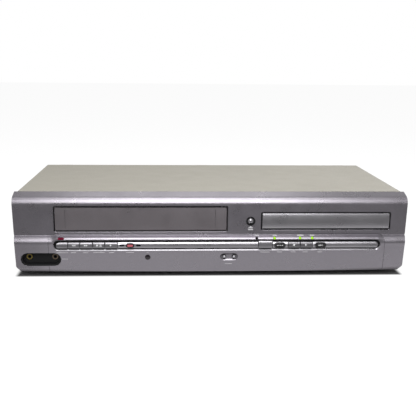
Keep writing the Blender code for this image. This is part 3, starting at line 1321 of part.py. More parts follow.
def make_cassette_door():
    left = FLAP_OPEN_LEFT + PANEL_MARGIN
    right = FLAP_OPEN_RIGHT - PANEL_MARGIN
    bottom = FLAP_OPEN_BOTTOM + PANEL_MARGIN
    top = FLAP_OPEN_TOP - PANEL_MARGIN
    steps = 4
    face = []
    for step in range(steps + 1):
        share = 2 * step / steps - 1
        height = bottom + (top - bottom) * step / steps
        face.append((upper_face_y(height) + DOOR_SETBACK - DOOR_CROWN * (1 - share * share), height))
    back = [(upper_face_y(z) + DOOR_SETBACK + DOOR_THICKNESS, z) for z in (top, bottom)]
    door = prism("X", face + back, left, right)
    for x in DOOR_GROOVE_X:
        half = DOOR_GROOVE_WIDTH / 2
        mid_face = upper_face_y(middle((bottom, top))) + DOOR_SETBACK
        low = (x - half, FRONT_Y, bottom + DOOR_GROOVE_MARGIN)
        cut(door, block(low, (x + half, mid_face + DOOR_GROOVE_DEPTH, top - DOOR_GROOVE_MARGIN)))
    arm_back = DOOR_AXIS_Y + DOOR_ARM_HALF
    arm_front = DOOR_AXIS_Y - DOOR_ARM_HALF
    arm_outline = [
        (arm_front - DOOR_ARM_HALF, top - DOOR_ARM_DROP),
        (arm_back - DOOR_ARM_HALF, top - DOOR_ARM_DROP),
        (arm_back, top),
        (arm_back, DOOR_AXIS_HEIGHT + DOOR_ARM_HALF),
        (arm_front, DOOR_AXIS_HEIGHT + DOOR_ARM_HALF),
        (arm_front, top),
        (arm_front - DOOR_ARM_HALF, top - DOOR_EAR_HALF),
    ]
    for side, edge in ((-1, left), (1, right)):
        near = edge - side * DOOR_ARM_INSET
        far = near - side * DOOR_ARM
        join(door, prism("X", arm_outline, min(near, far), max(near, far)))
        tip = edge + side * (PANEL_MARGIN + DOOR_EAR)
        start = (near - side * JOIN_DEPTH, DOOR_AXIS_Y, DOOR_AXIS_HEIGHT)
        join(door, rod(start, (tip, DOOR_AXIS_Y, DOOR_AXIS_HEIGHT), DOOR_PIN_RADIUS, TINY_SIDES))
    as_part(door, "cassette_door", FLAP_GREY, (DECK_X, DOOR_AXIS_Y, DOOR_AXIS_HEIGHT))


# Case


def make_foot_set():
    profile = [
        (0, FOOT_HEIGHT + FOOT_PEG_RISE),
        (FOOT_PEG_RADIUS, FOOT_HEIGHT + FOOT_PEG_RISE),
        (FOOT_PEG_RADIUS, FOOT_HEIGHT - SEAT_GAP),
        (FOOT_RADIUS, FOOT_HEIGHT - SEAT_GAP),
        (FOOT_RADIUS, FOOT_CHAMFER),
        (FOOT_RADIUS - FOOT_CHAMFER, 0),
        (0, 0),
    ]
    places = {
        "foot_front_left": (-FOOT_X, FOOT_FRONT_Y, 0),
        "foot_front_right": (FOOT_X, FOOT_FRONT_Y, 0),
        "foot_rear_left": (-FOOT_X, FOOT_REAR_Y, 0),
        "foot_rear_right": (FOOT_X, FOOT_REAR_Y, 0),
    }
    for name, place in places.items():
        as_part(turned(place, profile, 16), name, RUBBER)


def deck_post_places():
    left = DECK_X - DECK_HALF_WIDTH + DECK_POST_INSET
    right = DECK_X + DECK_HALF_WIDTH - DECK_POST_INSET
    front = DECK_FRONT + DECK_POST_INSET
    back = DECK_BACK - DECK_POST_INSET
    return [(left, front), (right, front), (left, back), (right, back)]


def make_chassis():
    """The steel pan: turned-up edges, vent slots, holes for the feet, and posts for what it carries."""
    pan = block((-PAN_HALF, PAN_FRONT, FOOT_HEIGHT), (PAN_HALF, PAN_BACK, PAN_TOP))
    for side in (-1, 1):
        edge = side * PAN_HALF
        inner = side * (PAN_HALF - PAN_SHEET)
        top = FOOT_HEIGHT + PAN_SIDE_HEIGHT
        join(pan, block((min(edge, inner), PAN_FRONT, FOOT_HEIGHT), (max(edge, inner), PAN_BACK, top)))
    front_top = FOOT_HEIGHT + PAN_FRONT_HEIGHT
    join(pan, block((-PAN_HALF, PAN_FRONT, FOOT_HEIGHT), (PAN_HALF, PAN_FRONT + PAN_SHEET, front_top)))
    back_top = FOOT_HEIGHT + PAN_BACK_HEIGHT
    join(pan, block((-PAN_HALF, PAN_BACK - PAN_SHEET, FOOT_HEIGHT), (PAN_HALF, PAN_BACK, back_top)))
    post_start = PAN_TOP - PAN_SHEET / 2
    for x, y in deck_post_places():
        join(pan, rod((x, y, post_start), (x, y, DECK_PLATE_Z - SEAT_GAP), POST_RADIUS, TINY_SIDES))
    for x, y in BOARD_POSTS:
        join(pan, rod((x, y, post_start), (x, y, MAIN_BOARD_Z - SEAT_GAP), POST_RADIUS, TINY_SIDES))
    for x in (-FOOT_X, FOOT_X):
        for y in (FOOT_FRONT_Y, FOOT_REAR_Y):
            low = (x, y, FOOT_HEIGHT - CUT_OVERRUN)
            cut(pan, rod(low, (x, y, PAN_TOP + CUT_OVERRUN), FOOT_PEG_RADIUS + SEAT_GAP))
    for group in PAN_SLOT_X:
        for step in range(-2, 3):
            y = PAN_SLOT_Y + step * PAN_SLOT_PITCH
            low = (group - PAN_SLOT_LENGTH / 2, y - PAN_SLOT_WIDTH / 2, FOOT_HEIGHT - CUT_OVERRUN)
            high = (group + PAN_SLOT_LENGTH / 2, y + PAN_SLOT_WIDTH / 2, PAN_TOP + CUT_OVERRUN)
            cut(pan, block(low, high))
    as_part(pan, "chassis_base", STEEL)


def make_top_cover():
    """The painted steel wrap: one bent sheet with three screw tabs folded down at the back."""
    top = CASE_HEIGHT
    bend = COVER_BEND
    side = (
        [(-COVER_HALF, COVER_HEM)]
        + arc((-COVER_HALF + bend, top - bend), bend, 180, 90, 3)
        + arc((COVER_HALF - bend, top - bend), bend, 90, 0, 3)
        + [(COVER_HALF, COVER_HEM)]
    )
    front = BEZEL_BACK + SEAT_GAP
    back = REAR_Y + SEAT_GAP
    cover = drawn("Y", [side], front, back, closed=False)
    fold = cover.modifiers.new("sheet", "SOLIDIFY")
    fold.thickness = SHEET
    fold.offset = -1.0
    fold.use_even_offset = True
    for x in COVER_TAB_X:
        half = COVER_TAB_WIDTH / 2
        low = (x - half, back - JOIN_DEPTH, top - SHEET)
        join(cover, block(low, (x + half, back + SHEET, top)))
        low = (x - half, back, top - COVER_TAB_DROP)
        join(cover, block(low, (x + half, back + SHEET, top - SHEET / 2)))
        start = (x, back - CUT_OVERRUN, top - CASE_SCREW_DROP)
        cut(cover, rod(start, (x, back + CUT_OVERRUN, top - CASE_SCREW_DROP), SCREW_HOLE_RADIUS))
    as_part(cover, "top_cover", COVER_GREY)


def make_rear_panel():
    half = PAN_HALF
    inner = REAR_Y - SHEET
    top = CASE_HEIGHT - SHEET - SEAT_GAP
    corner = COVER_BEND + SHEET
    outline = [
        (-half, FOOT_HEIGHT),
        (half, FOOT_HEIGHT),
        (half, top - corner),
        (half - corner, top),
        (corner - half, top),
        (-half, top - corner),
    ]
    panel = prism("Y", outline, inner, REAR_Y)
    before = inner - CUT_OVERRUN
    after = REAR_Y + CUT_OVERRUN
    margin = SLIDE_GAP
    low = (JACK_BLOCK_LEFT - margin, before, JACK_WINDOW_BOTTOM - margin)
    cut(panel, block(low, (JACK_BLOCK_RIGHT + margin, after, JACK_BLOCK_TOP + margin)))
    tuner_x = middle((TUNER_LEFT, TUNER_RIGHT))
    for height in AERIAL_HEIGHTS:
        radius = AERIAL_RADIUS + SEAT_GAP
        cut(panel, rod((tuner_x, before, height), (tuner_x, after, height), radius, 16))
    start = (GROMMET_X, before, GROMMET_HEIGHT)
    cut(panel, rod(start, (GROMMET_X, after, GROMMET_HEIGHT), GROMMET_NECK + SEAT_GAP, 16))
    for x in COVER_TAB_X:
        start = (x, before, CASE_HEIGHT - CASE_SCREW_DROP)
        cut(panel, rod(start, (x, after, CASE_HEIGHT - CASE_SCREW_DROP), SCREW_HOLE_RADIUS))
    for step in range(VENT_COUNT):
        x = VENT_X + (step - (VENT_COUNT - 1) / 2) * VENT_PITCH
        low = (x - VENT_WIDTH / 2, before, VENT_BOTTOM)
        cut(panel, block(low, (x + VENT_WIDTH / 2, after, VENT_TOP)))
    as_part(panel, "rear_panel", STEEL)


def make_cord_grommet():
    outside = REAR_Y + SEAT_GAP
    inside = REAR_Y - SHEET - SEAT_GAP
    profile = [
        (GROMMET_BORE, outside + GROMMET_OUTER),
        (GROMMET_FLANGE - GROMMET_OUTER / 2, outside + GROMMET_OUTER),
        (GROMMET_FLANGE, outside + GROMMET_OUTER / 2),
        (GROMMET_FLANGE, outside),
        (GROMMET_NECK, outside),
        (GROMMET_NECK, inside),
        (GROMMET_FLANGE, inside),
        (GROMMET_FLANGE, inside - GROMMET_INNER),
        (GROMMET_BORE, inside - GROMMET_INNER),
    ]
    grommet = turned((GROMMET_X, 0, GROMMET_HEIGHT), profile, 16, (0, 1, 0), ring=True)
    as_part(grommet, "cord_grommet", BLACK)


# Boards and rear sockets


def make_main_board():
    """The main board with the mains transformer, smoothing capacitors and heat sink along its back."""
    outline = [
        (MAIN_BOARD_TAB_LEFT, MAIN_BOARD_TAB_FRONT),
        (MAIN_BOARD_TAB_RIGHT, MAIN_BOARD_TAB_FRONT),
        (MAIN_BOARD_TAB_RIGHT, MAIN_BOARD_RIGHT_FRONT),
        (MAIN_BOARD_RIGHT, MAIN_BOARD_RIGHT_FRONT),
        (MAIN_BOARD_RIGHT, MAIN_BOARD_BACK),
        (MAIN_BOARD_LEFT, MAIN_BOARD_BACK),
        (MAIN_BOARD_LEFT, MAIN_BOARD_LEFT_FRONT),
        (MAIN_BOARD_TAB_LEFT, MAIN_BOARD_LEFT_FRONT),
    ]
    board = prism("Z", outline, MAIN_BOARD_Z, MAIN_BOARD_TOP)
    start = MAIN_BOARD_TOP - JOIN_DEPTH
    for x, size in ((TRANSFORMER_X, TRANSFORMER_SIZE), (HEATSINK_X, HEATSINK_SIZE)):
        low = (x - size[0] / 2, PARTS_ROW_Y - size[1] / 2, start)
        join(board, block(low, (x + size[0] / 2, PARTS_ROW_Y + size[1] / 2, MAIN_BOARD_TOP + size[2])))
    for x in CAPACITOR_X:
        top = (x, PARTS_ROW_Y, MAIN_BOARD_TOP + CAPACITOR_HEIGHT)
        join(board, rod((x, PARTS_ROW_Y, start), top, CAPACITOR_RADIUS))
    as_part(board, "main_board", BOARD_GREEN)


def make_rear_jacks():
    """Block of round sockets in two rows, its face showing through the rear panel's window."""
    face = REAR_Y
    body = block(
        (JACK_BLOCK_LEFT, JACK_BLOCK_FRONT, JACK_BLOCK_BOTTOM),
        (JACK_BLOCK_RIGHT, REAR_Y - SHEET - SEAT_GAP, JACK_BLOCK_TOP),
    )
    raised = block(
        (JACK_BLOCK_LEFT, JACK_BLOCK_FRONT + JOIN_DEPTH, JACK_WINDOW_BOTTOM),
        (JACK_BLOCK_RIGHT, face, JACK_BLOCK_TOP),
    )
    join(body, raised)
    for height in REAR_JACK_ROWS:
        for column in range(REAR_JACK_COLUMNS):
            x = REAR_JACK_X + column * REAR_JACK_PITCH
            join(body, rod((x, face - JOIN_DEPTH, height), (x, BACK_Y, height), REAR_JACK_RADIUS))
            bore_start = (x, BACK_Y - REAR_BORE_DEPTH, height)
            cut(body, rod(bore_start, (x, BACK_Y + CUT_OVERRUN, height), REAR_JACK_BORE, 8))
    height = REAR_JACK_ROWS[1]
    start = (VIDEO_SOCKET_X, face - VIDEO_SOCKET_DEPTH, height)
    cut(body, rod(start, (VIDEO_SOCKET_X, face + CUT_OVERRUN, height), VIDEO_SOCKET_RADIUS, 16))
    height = REAR_JACK_ROWS[0]
    start = (VIDEO_SOCKET_X, face - JOIN_DEPTH, height)
    join(body, rod(start, (VIDEO_SOCKET_X, BACK_Y, height), REAR_JACK_RADIUS))
    start = (VIDEO_SOCKET_X, BACK_Y - REAR_BORE_DEPTH, height)
    cut(body, rod(start, (VIDEO_SOCKET_X, BACK_Y + CUT_OVERRUN, height), REAR_JACK_BORE, 8))
    as_part(body, "rear_jack_block", BLACK)


def make_tuner():
    x = middle((TUNER_LEFT, TUNER_RIGHT))
    back = REAR_Y - SHEET - SEAT_GAP
    can = block((TUNER_LEFT, TUNER_FRONT, TUNER_BOTTOM), (TUNER_RIGHT, back, TUNER_TOP))
    for height in AERIAL_HEIGHTS:
        tip = BACK_Y - AERIAL_TIP_SETBACK
        join(can, rod((x, back - JOIN_DEPTH, height), (x, tip, height), AERIAL_RADIUS))
        nut = (x, REAR_Y + SEAT_GAP, height)
        join(can, rod(nut, (x, REAR_Y + SEAT_GAP + AERIAL_NUT, height), AERIAL_NUT_RADIUS, 6))
    as_part(can, "aerial_terminals", STEEL)


# Tape deck


def both_sides(half_near, half_far):
    """The left and right spans of a pair of side walls about the deck's middle."""
    return [(DECK_X - half_far, DECK_X - half_near), (DECK_X + half_near, DECK_X + half_far)]


def drum_axis():
    return Vector((math.sin(DRUM_TILT), 0, math.cos(DRUM_TILT)))


def pinch_rest_place():
    """Where the pinch roller stands before its arm swings it against the capstan."""
    reach = CAPSTAN_RADIUS + PINCH_ROLLER_RADIUS + SEAT_GAP
    contact = Vector(
        (
            CAPSTAN_X + reach * math.cos(PINCH_CONTACT_ANGLE),
            CAPSTAN_Y + reach * math.sin(PINCH_CONTACT_ANGLE),
            0,
        )
    )
    pivot = Vector((PINCH_PIVOT_X, PINCH_PIVOT_Y, 0))
    return pivot + Matrix.Rotation(PINCH_SWING, 3, "Z") @ (contact - pivot)


def tape_guide_paths():
    """Name, start and direction of the two bases that carry the tape round the drum."""
    paths = {}
    for name, side in (("supply_tape_guide", -1), ("takeup_tape_guide", 1)):
        start = Vector((DRUM_X + side * TAPE_GUIDE_X_OFFSET, TAPE_GUIDE_Y, 0))
        run = Vector((side * TAPE_GUIDE_SPREAD, TAPE_GUIDE_RUN, 0))
        paths[name] = (start, run)
    return paths


def make_deck_chassis():
    left = DECK_X - DECK_HALF_WIDTH
    right = DECK_X + DECK_HALF_WIDTH
    plate = block((left, DECK_FRONT, DECK_PLATE_Z), (right, DECK_BACK, DECK_TOP))
    flange_bottom = DECK_TOP - DECK_FLANGE
    join(plate, block((left, DECK_FRONT, flange_bottom), (right, DECK_FRONT + DECK_SHEET, DECK_TOP)))
    join(plate, block((left, DECK_BACK - DECK_SHEET, flange_bottom), (right, DECK_BACK, DECK_TOP)))
    start = DECK_TOP - DECK_SHEET / 2
    for side in (-1, 1):
        x = DECK_X + side * REEL_SPACING / 2
        join(plate, rod((x, REEL_Y, start), (x, REEL_Y, DECK_TOP + REEL_HEIGHT / 2), REEL_PIN_RADIUS))
    bearing_top = (CAPSTAN_X, CAPSTAN_Y, DECK_TOP + BEARING_HEIGHT)
    join(plate, rod((CAPSTAN_X, CAPSTAN_Y, start), bearing_top, BEARING_RADIUS))
    bore = (CAPSTAN_X, CAPSTAN_Y, DECK_PLATE_Z - CUT_OVERRUN)
    bore_top = (CAPSTAN_X, CAPSTAN_Y, DECK_TOP + BEARING_HEIGHT + CUT_OVERRUN)
    cut(plate, rod(bore, bore_top, CAPSTAN_RADIUS + SEAT_GAP))
    pivot_top = (PINCH_PIVOT_X, PINCH_PIVOT_Y, PINCH_ARM_BOTTOM + PINCH_ARM_THICKNESS)
    join(plate, rod((PINCH_PIVOT_X, PINCH_PIVOT_Y, start), pivot_top, PINCH_PIN_RADIUS))
    for begin, run in tape_guide_paths().values():
        cut(plate, slot_along(begin, run, TAPE_GUIDE_TONGUE / 2 + SLIDE_GAP))
    as_part(plate, "deck_chassis", STEEL)


def slot_along(begin, run, half):
    """A round-ended slot cutter through the deck plate from one point along a run."""
    angle = math.degrees(math.atan2(run.y, run.x))
    end = begin + run
    outline = arc((end.x, end.y), half, angle - 90, angle + 90)
    outline += arc((begin.x, begin.y), half, angle + 90, angle + 270)
    return prism("Z", outline, DECK_PLATE_Z - CUT_OVERRUN, DECK_TOP + CUT_OVERRUN)


def make_loading_frame():
    """Two slotted side plates and their bridge, which carry the cassette holder in and out."""
    outer = FRAME_HALF + DECK_SHEET
    bottom = DECK_TOP + SEAT_GAP
    frame = block(
        (DECK_X - outer, FRAME_BRIDGE_Y - FRAME_BRIDGE_WIDTH / 2, FRAME_TOP - DECK_SHEET),
        (DECK_X + outer, FRAME_BRIDGE_Y + FRAME_BRIDGE_WIDTH / 2, FRAME_TOP),
    )
    for low_x, high_x in both_sides(FRAME_HALF, outer):
        join(frame, block((low_x, FRAME_FRONT, bottom), (high_x, FRAME_BACK, FRAME_TOP - DECK_SHEET / 2)))
    for low_x, high_x in both_sides(FRAME_HALF, outer + FRAME_FOOT):
        join(frame, block((low_x, FRAME_FRONT, bottom), (high_x, FRAME_BACK, bottom + DECK_SHEET)))
    pin = GUIDE_PIN_RADIUS + SEAT_GAP
    slot_front = SLIDER_FRONT + GUIDE_PIN_INSET - pin
    slot_back = SLIDER_FRONT + SLIDER_LENGTH - GUIDE_PIN_INSET + HOLDER_TRAVEL + pin
    for low_x, high_x in both_sides(FRAME_HALF, outer):
        low = (low_x - CUT_OVERRUN, slot_front, GUIDE_PIN_HEIGHT - pin)
        cut(frame, block(low, (high_x + CUT_OVERRUN, slot_back, GUIDE_PIN_HEIGHT + pin)))
    as_part(frame, "loading_frame", STEEL)


def make_holder_slider():
    """The yoke that runs along the frame's slots and lets the holder down between its own slots."""
    inner = SLIDER_HALF - HOLDER_SHEET
    back = SLIDER_FRONT + SLIDER_LENGTH
    mid = SLIDER_FRONT + SLIDER_LENGTH / 2
    slider = block(
        (DECK_X - SLIDER_HALF, mid - SLIDER_BAR_WIDTH / 2, SLIDER_TOP - HOLDER_SHEET),
        (DECK_X + SLIDER_HALF, mid + SLIDER_BAR_WIDTH / 2, SLIDER_TOP),
    )
    for low_x, high_x in both_sides(inner, SLIDER_HALF):
        low = (low_x, SLIDER_FRONT, SLIDER_BOTTOM)
        join(slider, block(low, (high_x, back, SLIDER_TOP - HOLDER_SHEET / 2)))
    tip = FRAME_HALF + DECK_SHEET + JOIN_DEPTH
    for low_x, high_x in both_sides(SLIDER_HALF - HOLDER_SHEET / 2, tip):
        for y in (SLIDER_FRONT + GUIDE_PIN_INSET, back - GUIDE_PIN_INSET):
            start = (low_x, y, GUIDE_PIN_HEIGHT)
            join(slider, rod(start, (high_x, y, GUIDE_PIN_HEIGHT), GUIDE_PIN_RADIUS, TINY_SIDES))
    pin = GUIDE_PIN_RADIUS + SEAT_GAP
    for low_x, high_x in both_sides(inner, SLIDER_HALF):
        low = (low_x - CUT_OVERRUN, mid - pin, HOLDER_PIN_HEIGHT - HOLDER_DROP - pin)
        cut(slider, block(low, (high_x + CUT_OVERRUN, mid + pin, HOLDER_PIN_HEIGHT + pin)))
    as_part(slider, "holder_slider", STEEL, (DECK_X, mid, GUIDE_PIN_HEIGHT))


def make_cassette_holder():
    """The open-bottomed cage that takes the cassette: windowed top, side walls and turned-in lips."""
    back = HOLDER_FRONT + HOLDER_LENGTH
    mid = SLIDER_FRONT + SLIDER_LENGTH / 2
    holder = block(
        (DECK_X - HOLDER_HALF, HOLDER_FRONT, HOLDER_TOP - HOLDER_SHEET),
        (DECK_X + HOLDER_HALF, back, HOLDER_TOP),
    )
    wall_inner = HOLDER_HALF - HOLDER_SHEET
    for low_x, high_x in both_sides(wall_inner, HOLDER_HALF):
        low = (low_x, HOLDER_FRONT, HOLDER_BOTTOM)
        join(holder, block(low, (high_x, back, HOLDER_TOP - HOLDER_SHEET / 2)))
    for low_x, high_x in both_sides(HOLDER_HALF - HOLDER_LIP, HOLDER_HALF):
        low = (low_x, HOLDER_FRONT, HOLDER_BOTTOM)
        join(holder, block(low, (high_x, back, HOLDER_BOTTOM + HOLDER_SHEET)))
    tip = SLIDER_HALF + SEAT_GAP / 2
    for low_x, high_x in both_sides(wall_inner + HOLDER_SHEET / 2, tip):
        start = (low_x, mid, HOLDER_PIN_HEIGHT)
        join(holder, rod(start, (high_x, mid, HOLDER_PIN_HEIGHT), GUIDE_PIN_RADIUS, TINY_SIDES))
    for low_x, high_x in both_sides(HOLDER_WINDOW_MARGIN, HOLDER_HALF - HOLDER_WINDOW_INSET):
        low = (low_x, HOLDER_FRONT + HOLDER_WINDOW_MARGIN, HOLDER_TOP - HOLDER_SHEET - CUT_OVERRUN)
        cut(holder, block(low, (high_x, back - HOLDER_WINDOW_MARGIN, HOLDER_TOP + CUT_OVERRUN)))
    as_part(holder, "cassette_holder", STEEL, (DECK_X, mid, HOLDER_PIN_HEIGHT))


def make_reels():
    profile = [
        (REEL_PIN_RADIUS + SEAT_GAP, REEL_HEIGHT),
        (REEL_NOSE_RADIUS, REEL_HEIGHT),
        (REEL_HUB_RADIUS, REEL_HEIGHT - REEL_BASE),
        (REEL_HUB_RADIUS, REEL_BASE),
        (REEL_RADIUS, REEL_BASE),
        (REEL_RADIUS, 0),
        (REEL_PIN_RADIUS + SEAT_GAP, 0),
    ]
    for name, side in (("supply_reel_table", -1), ("takeup_reel_table", 1)):
        place = Vector((DECK_X + side * REEL_SPACING / 2, REEL_Y, DECK_TOP + SEAT_GAP))
        reel = turned(place, profile, ring=True)
        for step in range(REEL_FIN_COUNT):
            angle = math.tau * step / REEL_FIN_COUNT
            out = Vector((math.cos(angle), math.sin(angle), 0))
            start = place + out * REEL_HUB_RADIUS + Vector((0, 0, REEL_BASE - JOIN_DEPTH))
            fin_top = start + Vector((0, 0, REEL_HEIGHT - REEL_BASE - REEL_BASE))
            join(reel, rod(start, fin_top, REEL_FIN, 6))
        as_part(reel, name, WHITE)


def make_drum():
    """The tilted head drum: a fixed lower half on a plinth and an upper half that spins."""
    foot = Vector((DRUM_X, DRUM_Y, DECK_TOP))
    axis = drum_axis()
    edge = DRUM_EDGE
    lower_profile = [
        (0, DRUM_SPLIT_REACH),
        (DRUM_RADIUS, DRUM_SPLIT_REACH),
        (DRUM_RADIUS, DRUM_BASE_REACH + edge),
        (DRUM_RADIUS - edge, DRUM_BASE_REACH),
        (0, DRUM_BASE_REACH),
    ]
    lower = turned(foot, lower_profile, ROUND_SIDES, axis)
    seat = foot + Vector((0, 0, SEAT_GAP))
    join(lower, rod(seat, foot + Vector((0, 0, DRUM_BASE_REACH + DRUM_BASE_REACH)), DRUM_PLINTH_RADIUS, 16))
    as_part(lower, "head_drum_lower", DRUM_METAL)
    upper_profile = [
        (0, DRUM_CAP_REACH),
        (DRUM_CAP_RADIUS, DRUM_CAP_REACH),
        (DRUM_CAP_RADIUS, DRUM_TOP_REACH),
        (DRUM_RADIUS - edge, DRUM_TOP_REACH),
        (DRUM_RADIUS, DRUM_TOP_REACH - edge),
        (DRUM_RADIUS, DRUM_SPLIT_REACH + SEAT_GAP),
        (0, DRUM_SPLIT_REACH + SEAT_GAP),
    ]
    as_part(turned(foot, upper_profile, ROUND_SIDES, axis), "head_drum_upper", DRUM_METAL)


def make_capstan():
    top = FLYWHEEL_BOTTOM + FLYWHEEL_THICKNESS
    hub = CAPSTAN_RADIUS + CAPSTAN_RADIUS
    profile = [
        (0, CAPSTAN_TOP),
        (CAPSTAN_RADIUS, CAPSTAN_TOP),
        (CAPSTAN_RADIUS, DECK_PLATE_Z - SLIDE_GAP),
        (hub, DECK_PLATE_Z - SLIDE_GAP),
        (hub, top),
        (FLYWHEEL_RADIUS, top),
        (FLYWHEEL_RADIUS, FLYWHEEL_BOTTOM),
        (0, FLYWHEEL_BOTTOM),
    ]
    as_part(turned((CAPSTAN_X, CAPSTAN_Y, 0), profile), "capstan_flywheel", DRUM_METAL)


def make_pinch_roller():
    pivot = Vector((PINCH_PIVOT_X, PINCH_PIVOT_Y, 0))
    place = pinch_rest_place()
    run = place - pivot
    angle = math.degrees(math.atan2(run.y, run.x))
    half = PINCH_ARM_HALF_WIDTH
    outline = arc(place.xy, half, angle - 90, angle + 90) + arc(pivot.xy, half, angle + 90, angle + 270)
    top = PINCH_ARM_BOTTOM + PINCH_ARM_THICKNESS
    arm = prism("Z", outline, PINCH_ARM_BOTTOM, top)
    low = DECK_TOP + SEAT_GAP
    join(arm, rod((*pivot.xy, low), (*pivot.xy, top - JOIN_DEPTH), half - SEAT_GAP))
    bore = PINCH_PIN_RADIUS + SEAT_GAP
    cut(arm, rod((*pivot.xy, low - CUT_OVERRUN), (*pivot.xy, top + CUT_OVERRUN), bore, TINY_SIDES))
    roller_bottom = top + SLIDE_GAP
    roller_top = roller_bottom + PINCH_ROLLER_HEIGHT
    pin_start = (*place.xy, top - JOIN_DEPTH)
    join(arm, rod(pin_start, (*place.xy, roller_top + SLIDE_GAP), PINCH_PIN_RADIUS, TINY_SIDES))
    as_part(arm, "pinch_arm", STEEL, (*pivot.xy, PINCH_ARM_BOTTOM))
    profile = [
        (PINCH_ROLLER_BORE, roller_top),
        (PINCH_ROLLER_RADIUS, roller_top),
        (PINCH_ROLLER_RADIUS, roller_bottom),
        (PINCH_ROLLER_BORE, roller_bottom),
    ]
    as_part(turned((*place.xy, 0), profile, 16, ring=True), "pinch_roller", RUBBER)


def make_tape_guides():
    for name, (start, run) in tape_guide_paths().items():
        half = TAPE_GUIDE_WIDTH / 2
        low = DECK_TOP + SEAT_GAP
        base_top = low + TAPE_GUIDE_BASE
        base = block((start.x - half, start.y - half, low), (start.x + half, start.y + half, base_top))
        join(base, rod((*start.xy, base_top - JOIN_DEPTH), (*start.xy, TAPE_GUIDE_TOP), TAPE_GUIDE_RADIUS))
        tongue = TAPE_GUIDE_TONGUE / 2
        tongue_low = (*start.xy, DECK_PLATE_Z - TAPE_GUIDE_TONGUE_DROP)
        join(base, rod(tongue_low, (*start.xy, low + JOIN_DEPTH), tongue))
        as_part(base, name, DRUM_METAL, (*start.xy, low))


# Disc loader


def involute_flank(pitch_radius, base_radius, radius, half_width_angle):
    """Angle of a tooth's flank at a radius, counted from the tooth's middle."""

    def turned_by(at):
        if at <= base_radius:
            return 0.0
        pressure = math.acos(base_radius / at)
        return math.tan(pressure) - pressure

    return half_width_angle + turned_by(pitch_radius) - turned_by(radius)


def gear_outline(teeth, centre, first_angle):
    """Involute spur gear: each tooth from its root, up one flank, over the tip and down the other."""
    pitch_radius = GEAR_MODULE * teeth / 2
    base_radius = pitch_radius * math.cos(PRESSURE_ANGLE)
    root = pitch_radius - GEAR_MODULE * DEDENDUM_SHARE
    tip = pitch_radius + GEAR_MODULE
    half_width = (math.pi * GEAR_MODULE / 2 - TOOTH_BACKLASH) / 2 / pitch_radius
    levels = (root, pitch_radius, tip)
    points = []
    for tooth in range(teeth):
        middle_angle = first_angle + math.tau * tooth / teeth
        flanks = [(r, involute_flank(pitch_radius, base_radius, r, half_width)) for r in levels]
        rising = [(r, middle_angle - a) for r, a in flanks]
        falling = [(r, middle_angle + a) for r, a in reversed(flanks)]
        for r, a in rising + falling:
            points.append((centre[0] + r * math.cos(a), centre[1] + r * math.sin(a)))
    return points


def rack_outline():
    """Straight-flanked rack whose teeth face +X, in mesh with the drive gear."""
    pitch = math.pi * GEAR_MODULE
    lean = math.tan(PRESSURE_ANGLE)
    tip_x = RACK_PITCH_X + GEAR_MODULE
    root_x = RACK_PITCH_X - GEAR_MODULE * DEDENDUM_SHARE
    half = (pitch / 2 - TOOTH_BACKLASH) / 2
    tip_half = half - GEAR_MODULE * lean
    root_half = half + GEAR_MODULE * DEDENDUM_SHARE * lean
    count = int((RACK_BACK - RACK_FRONT) / pitch)
    first = math.ceil((RACK_FRONT + pitch - DRIVE_Y) / pitch)
    points = [(RACK_LEFT, RACK_FRONT), (root_x, RACK_FRONT)]
    for step in range(count - 1):
        y = DRIVE_Y + (first + step) * pitch
        points += [(root_x, y - root_half), (tip_x, y - tip_half)]
        points += [(tip_x, y + tip_half), (root_x, y + root_half)]
    return points + [(root_x, RACK_BACK), (RACK_LEFT, RACK_BACK)]


def make_disc_tray():
    """The drawer: disc well with its smaller step, open slot for the spindle, side rails and rack."""
    left = LOADER_X - TRAY_HALF_WIDTH
    right = LOADER_X + TRAY_HALF_WIDTH
    tray = prism("Z", rounded(left, right, TRAY_FRONT, TRAY_BACK, TRAY_CORNER), TRAY_BOTTOM, TRAY_TOP)
    rail = block(
        (left - TRAY_RAIL, TRAY_FRONT + TRAY_CORNER, TRAY_RAIL_BOTTOM),
        (right + TRAY_RAIL, TRAY_BACK - TRAY_CORNER, TRAY_RAIL_BOTTOM + TRAY_RAIL),
    )
    inner = block(
        (left + TRAY_RAIL, TRAY_FRONT, TRAY_RAIL_BOTTOM - CUT_OVERRUN),
        (right - TRAY_RAIL, TRAY_BACK, TRAY_BOTTOM),
    )
    cut(rail, inner)
    join(tray, rail)
    join(tray, prism("Z", rack_outline(), RACK_BOTTOM, TRAY_BOTTOM + JOIN_DEPTH))
    over = TRAY_TOP + CUT_OVERRUN
    hub = (LOADER_X, DISC_Y)
    cut(
        tray,
        rod((*hub, DISC_WELL_FLOOR), (*hub, over), DISC_WELL_RADIUS, 48),
        rod((*hub, DISC_WELL_FLOOR - SMALL_WELL_STEP), (*hub, over), SMALL_WELL_RADIUS, 36),
    )
    slot = (
        arc(hub, TRAY_SLOT_HALF, 180, 360, 8)
        + [(LOADER_X + TRAY_SLOT_HALF, TRAY_BACK + CUT_OVERRUN)]
        + [(LOADER_X - TRAY_SLOT_HALF, TRAY_BACK + CUT_OVERRUN)]
    )
    cut(tray, prism("Z", slot, TRAY_RAIL_BOTTOM - CUT_OVERRUN, over))
    as_part(tray, "disc_tray", TRAY_BLACK, (LOADER_X, TRAY_FRONT, TRAY_BOTTOM))


